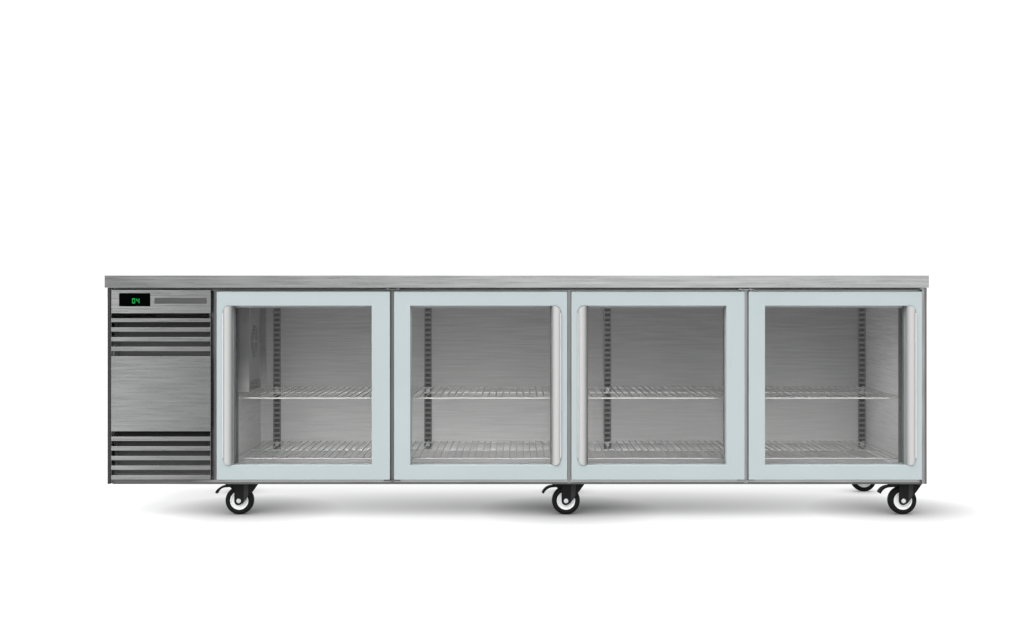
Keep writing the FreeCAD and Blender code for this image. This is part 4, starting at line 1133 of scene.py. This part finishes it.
def floor():
    """A back-lit white studio table with painted shadows: its glow dims under the fridge, in soft
    ovals round it and close round what stands on it.
    """
    bm = bmesh.new()
    bmesh.ops.create_grid(bm, x_segments=8, y_segments=8, size=TABLE_SIZE)
    mesh = bpy.data.meshes.new("floor")
    bm.to_mesh(mesh)
    bm.free()
    plane = bpy.data.objects.new("floor", mesh)
    bpy.context.scene.collection.objects.link(plane)
    shader = Shader("floor_white", (0.2, 0.2, 0.2), 0.0, 0.9)
    shader.put("Specular IOR Level", 0.0)
    dust = shader.noise(3.0, 3.0)
    shader.colour(shader.span(dust), (0.197, 0.197, 0.197), (0.203, 0.203, 0.203))
    # Painted contact shadow: the glow dims within CONTACT_REACH of what stands on the floor.
    near = shader.node("AmbientOcclusion", Distance=CONTACT_REACH)
    clear = shader.product(shader.span(near.outputs["AO"], 0.3, 1.0, 0.3, 1.0),
                           open_to_light(shader, *OVAL_UNDER_FRIDGE))
    along, behind, *shape = OVAL_AT_CASTOR
    for number in FRONT_CASTORS:
        middle = middle_of(f"castor_wheel_{number}")
        clear = shader.product(clear, open_to_light(shader, middle.x + along, middle.y + behind,
                                                    *shape))
    glow = shader.span(clear, 0.0, TABLE_GLOW, 0.0, 1.0)
    shader.put("Emission Color", (1.0, 1.0, 1.0, 1.0))
    shader.links.new(glow, shader.bsdf.inputs["Emission Strength"])
    mesh.materials.append(shader.material)


# Brightness of the wall behind the camera from left to right, as (sideways direction, strength).
FRONT_WALL = [(-0.7, 0.3), (-0.34, 0.12), (-0.22, 0.2), (-0.05, 0.75), (0.08, 1.1), (0.3, 1.05),
              (0.55, 0.6), (1.0, 0.45)]
BACK_WALL = 1.06
SOFTBOX = 4.2


def studio_world():
    """A white room: an even wall behind the object, and a soft box above and behind the camera."""
    world = bpy.data.worlds.new("studio")
    bpy.context.scene.world = world
    world.use_nodes = True
    graph = Graph(world.node_tree)
    direction = graph.node("TexCoord").outputs["Generated"]
    split = graph.node("SeparateXYZ")
    graph.links.new(direction, split.inputs["Vector"])
    sideways, depth, height = split.outputs
    ramp = graph.node("ValToRGB")
    stops = ramp.color_ramp.elements
    stops.remove(stops[1])
    for index, (place, strength) in enumerate(FRONT_WALL):
        position = (place + 1) / 2
        stop = stops[0] if index == 0 else stops.new(position)
        stop.position = position
        stop.color = (strength / 2, strength / 2, strength / 2, 1)
    graph.links.new(graph.span(sideways, 0, 1, -1, 1), ramp.inputs["Fac"])
    wall = graph.span(ramp.outputs["Color"], 0, 2, 0, 1)
    overhead = graph.product(graph.span(height, 0.0, SOFTBOX, 0.17, 0.5),
                             graph.span(sideways, 1.7, 0.2, -0.7, 0.7))
    in_front = graph.span(depth, 1.0, 0.0, -0.5, 0.3)
    behind = graph.span(depth, 0.0, BACK_WALL, -0.5, 0.3)
    total = graph.combine("ADD", graph.product(graph.combine("ADD", wall, overhead), in_front),
                          behind)
    background = graph.nodes["Background"]
    background.inputs["Color"].default_value = (1, 1, 1, 1)
    graph.links.new(total, background.inputs["Strength"])


EYE = (0.0044, -5.039, 0.806)
LENS = 46.5
LENS_SHIFT = -0.023166


def camera():
    """Straight on to the doors, a little below the worktop's top, at the photograph's distance."""
    data = bpy.data.cameras.new("camera")
    data.lens = LENS
    data.sensor_width = 36.0
    data.shift_y = LENS_SHIFT
    data.clip_end = 100.0
    eye = bpy.data.objects.new("camera", data)
    eye.location = EYE
    eye.rotation_euler = (math.radians(90), 0, 0)
    bpy.context.scene.collection.objects.link(eye)
    bpy.context.scene.camera = eye


def build():
    camera()
    floor()
    studio_world()
    keep_cad_nodes()
    worktop()
    side_panels()
    skirt()
    doors()
    fascia()
    grille()
    strip_hollows()
    shelves()
    castors()
    bpy.context.scene.view_settings.view_transform = "Standard"
    bpy.context.scene.cycles.transparent_max_bounces = 24


def corners(bounds):
    return [list(corner) for corner in bounds]


build()
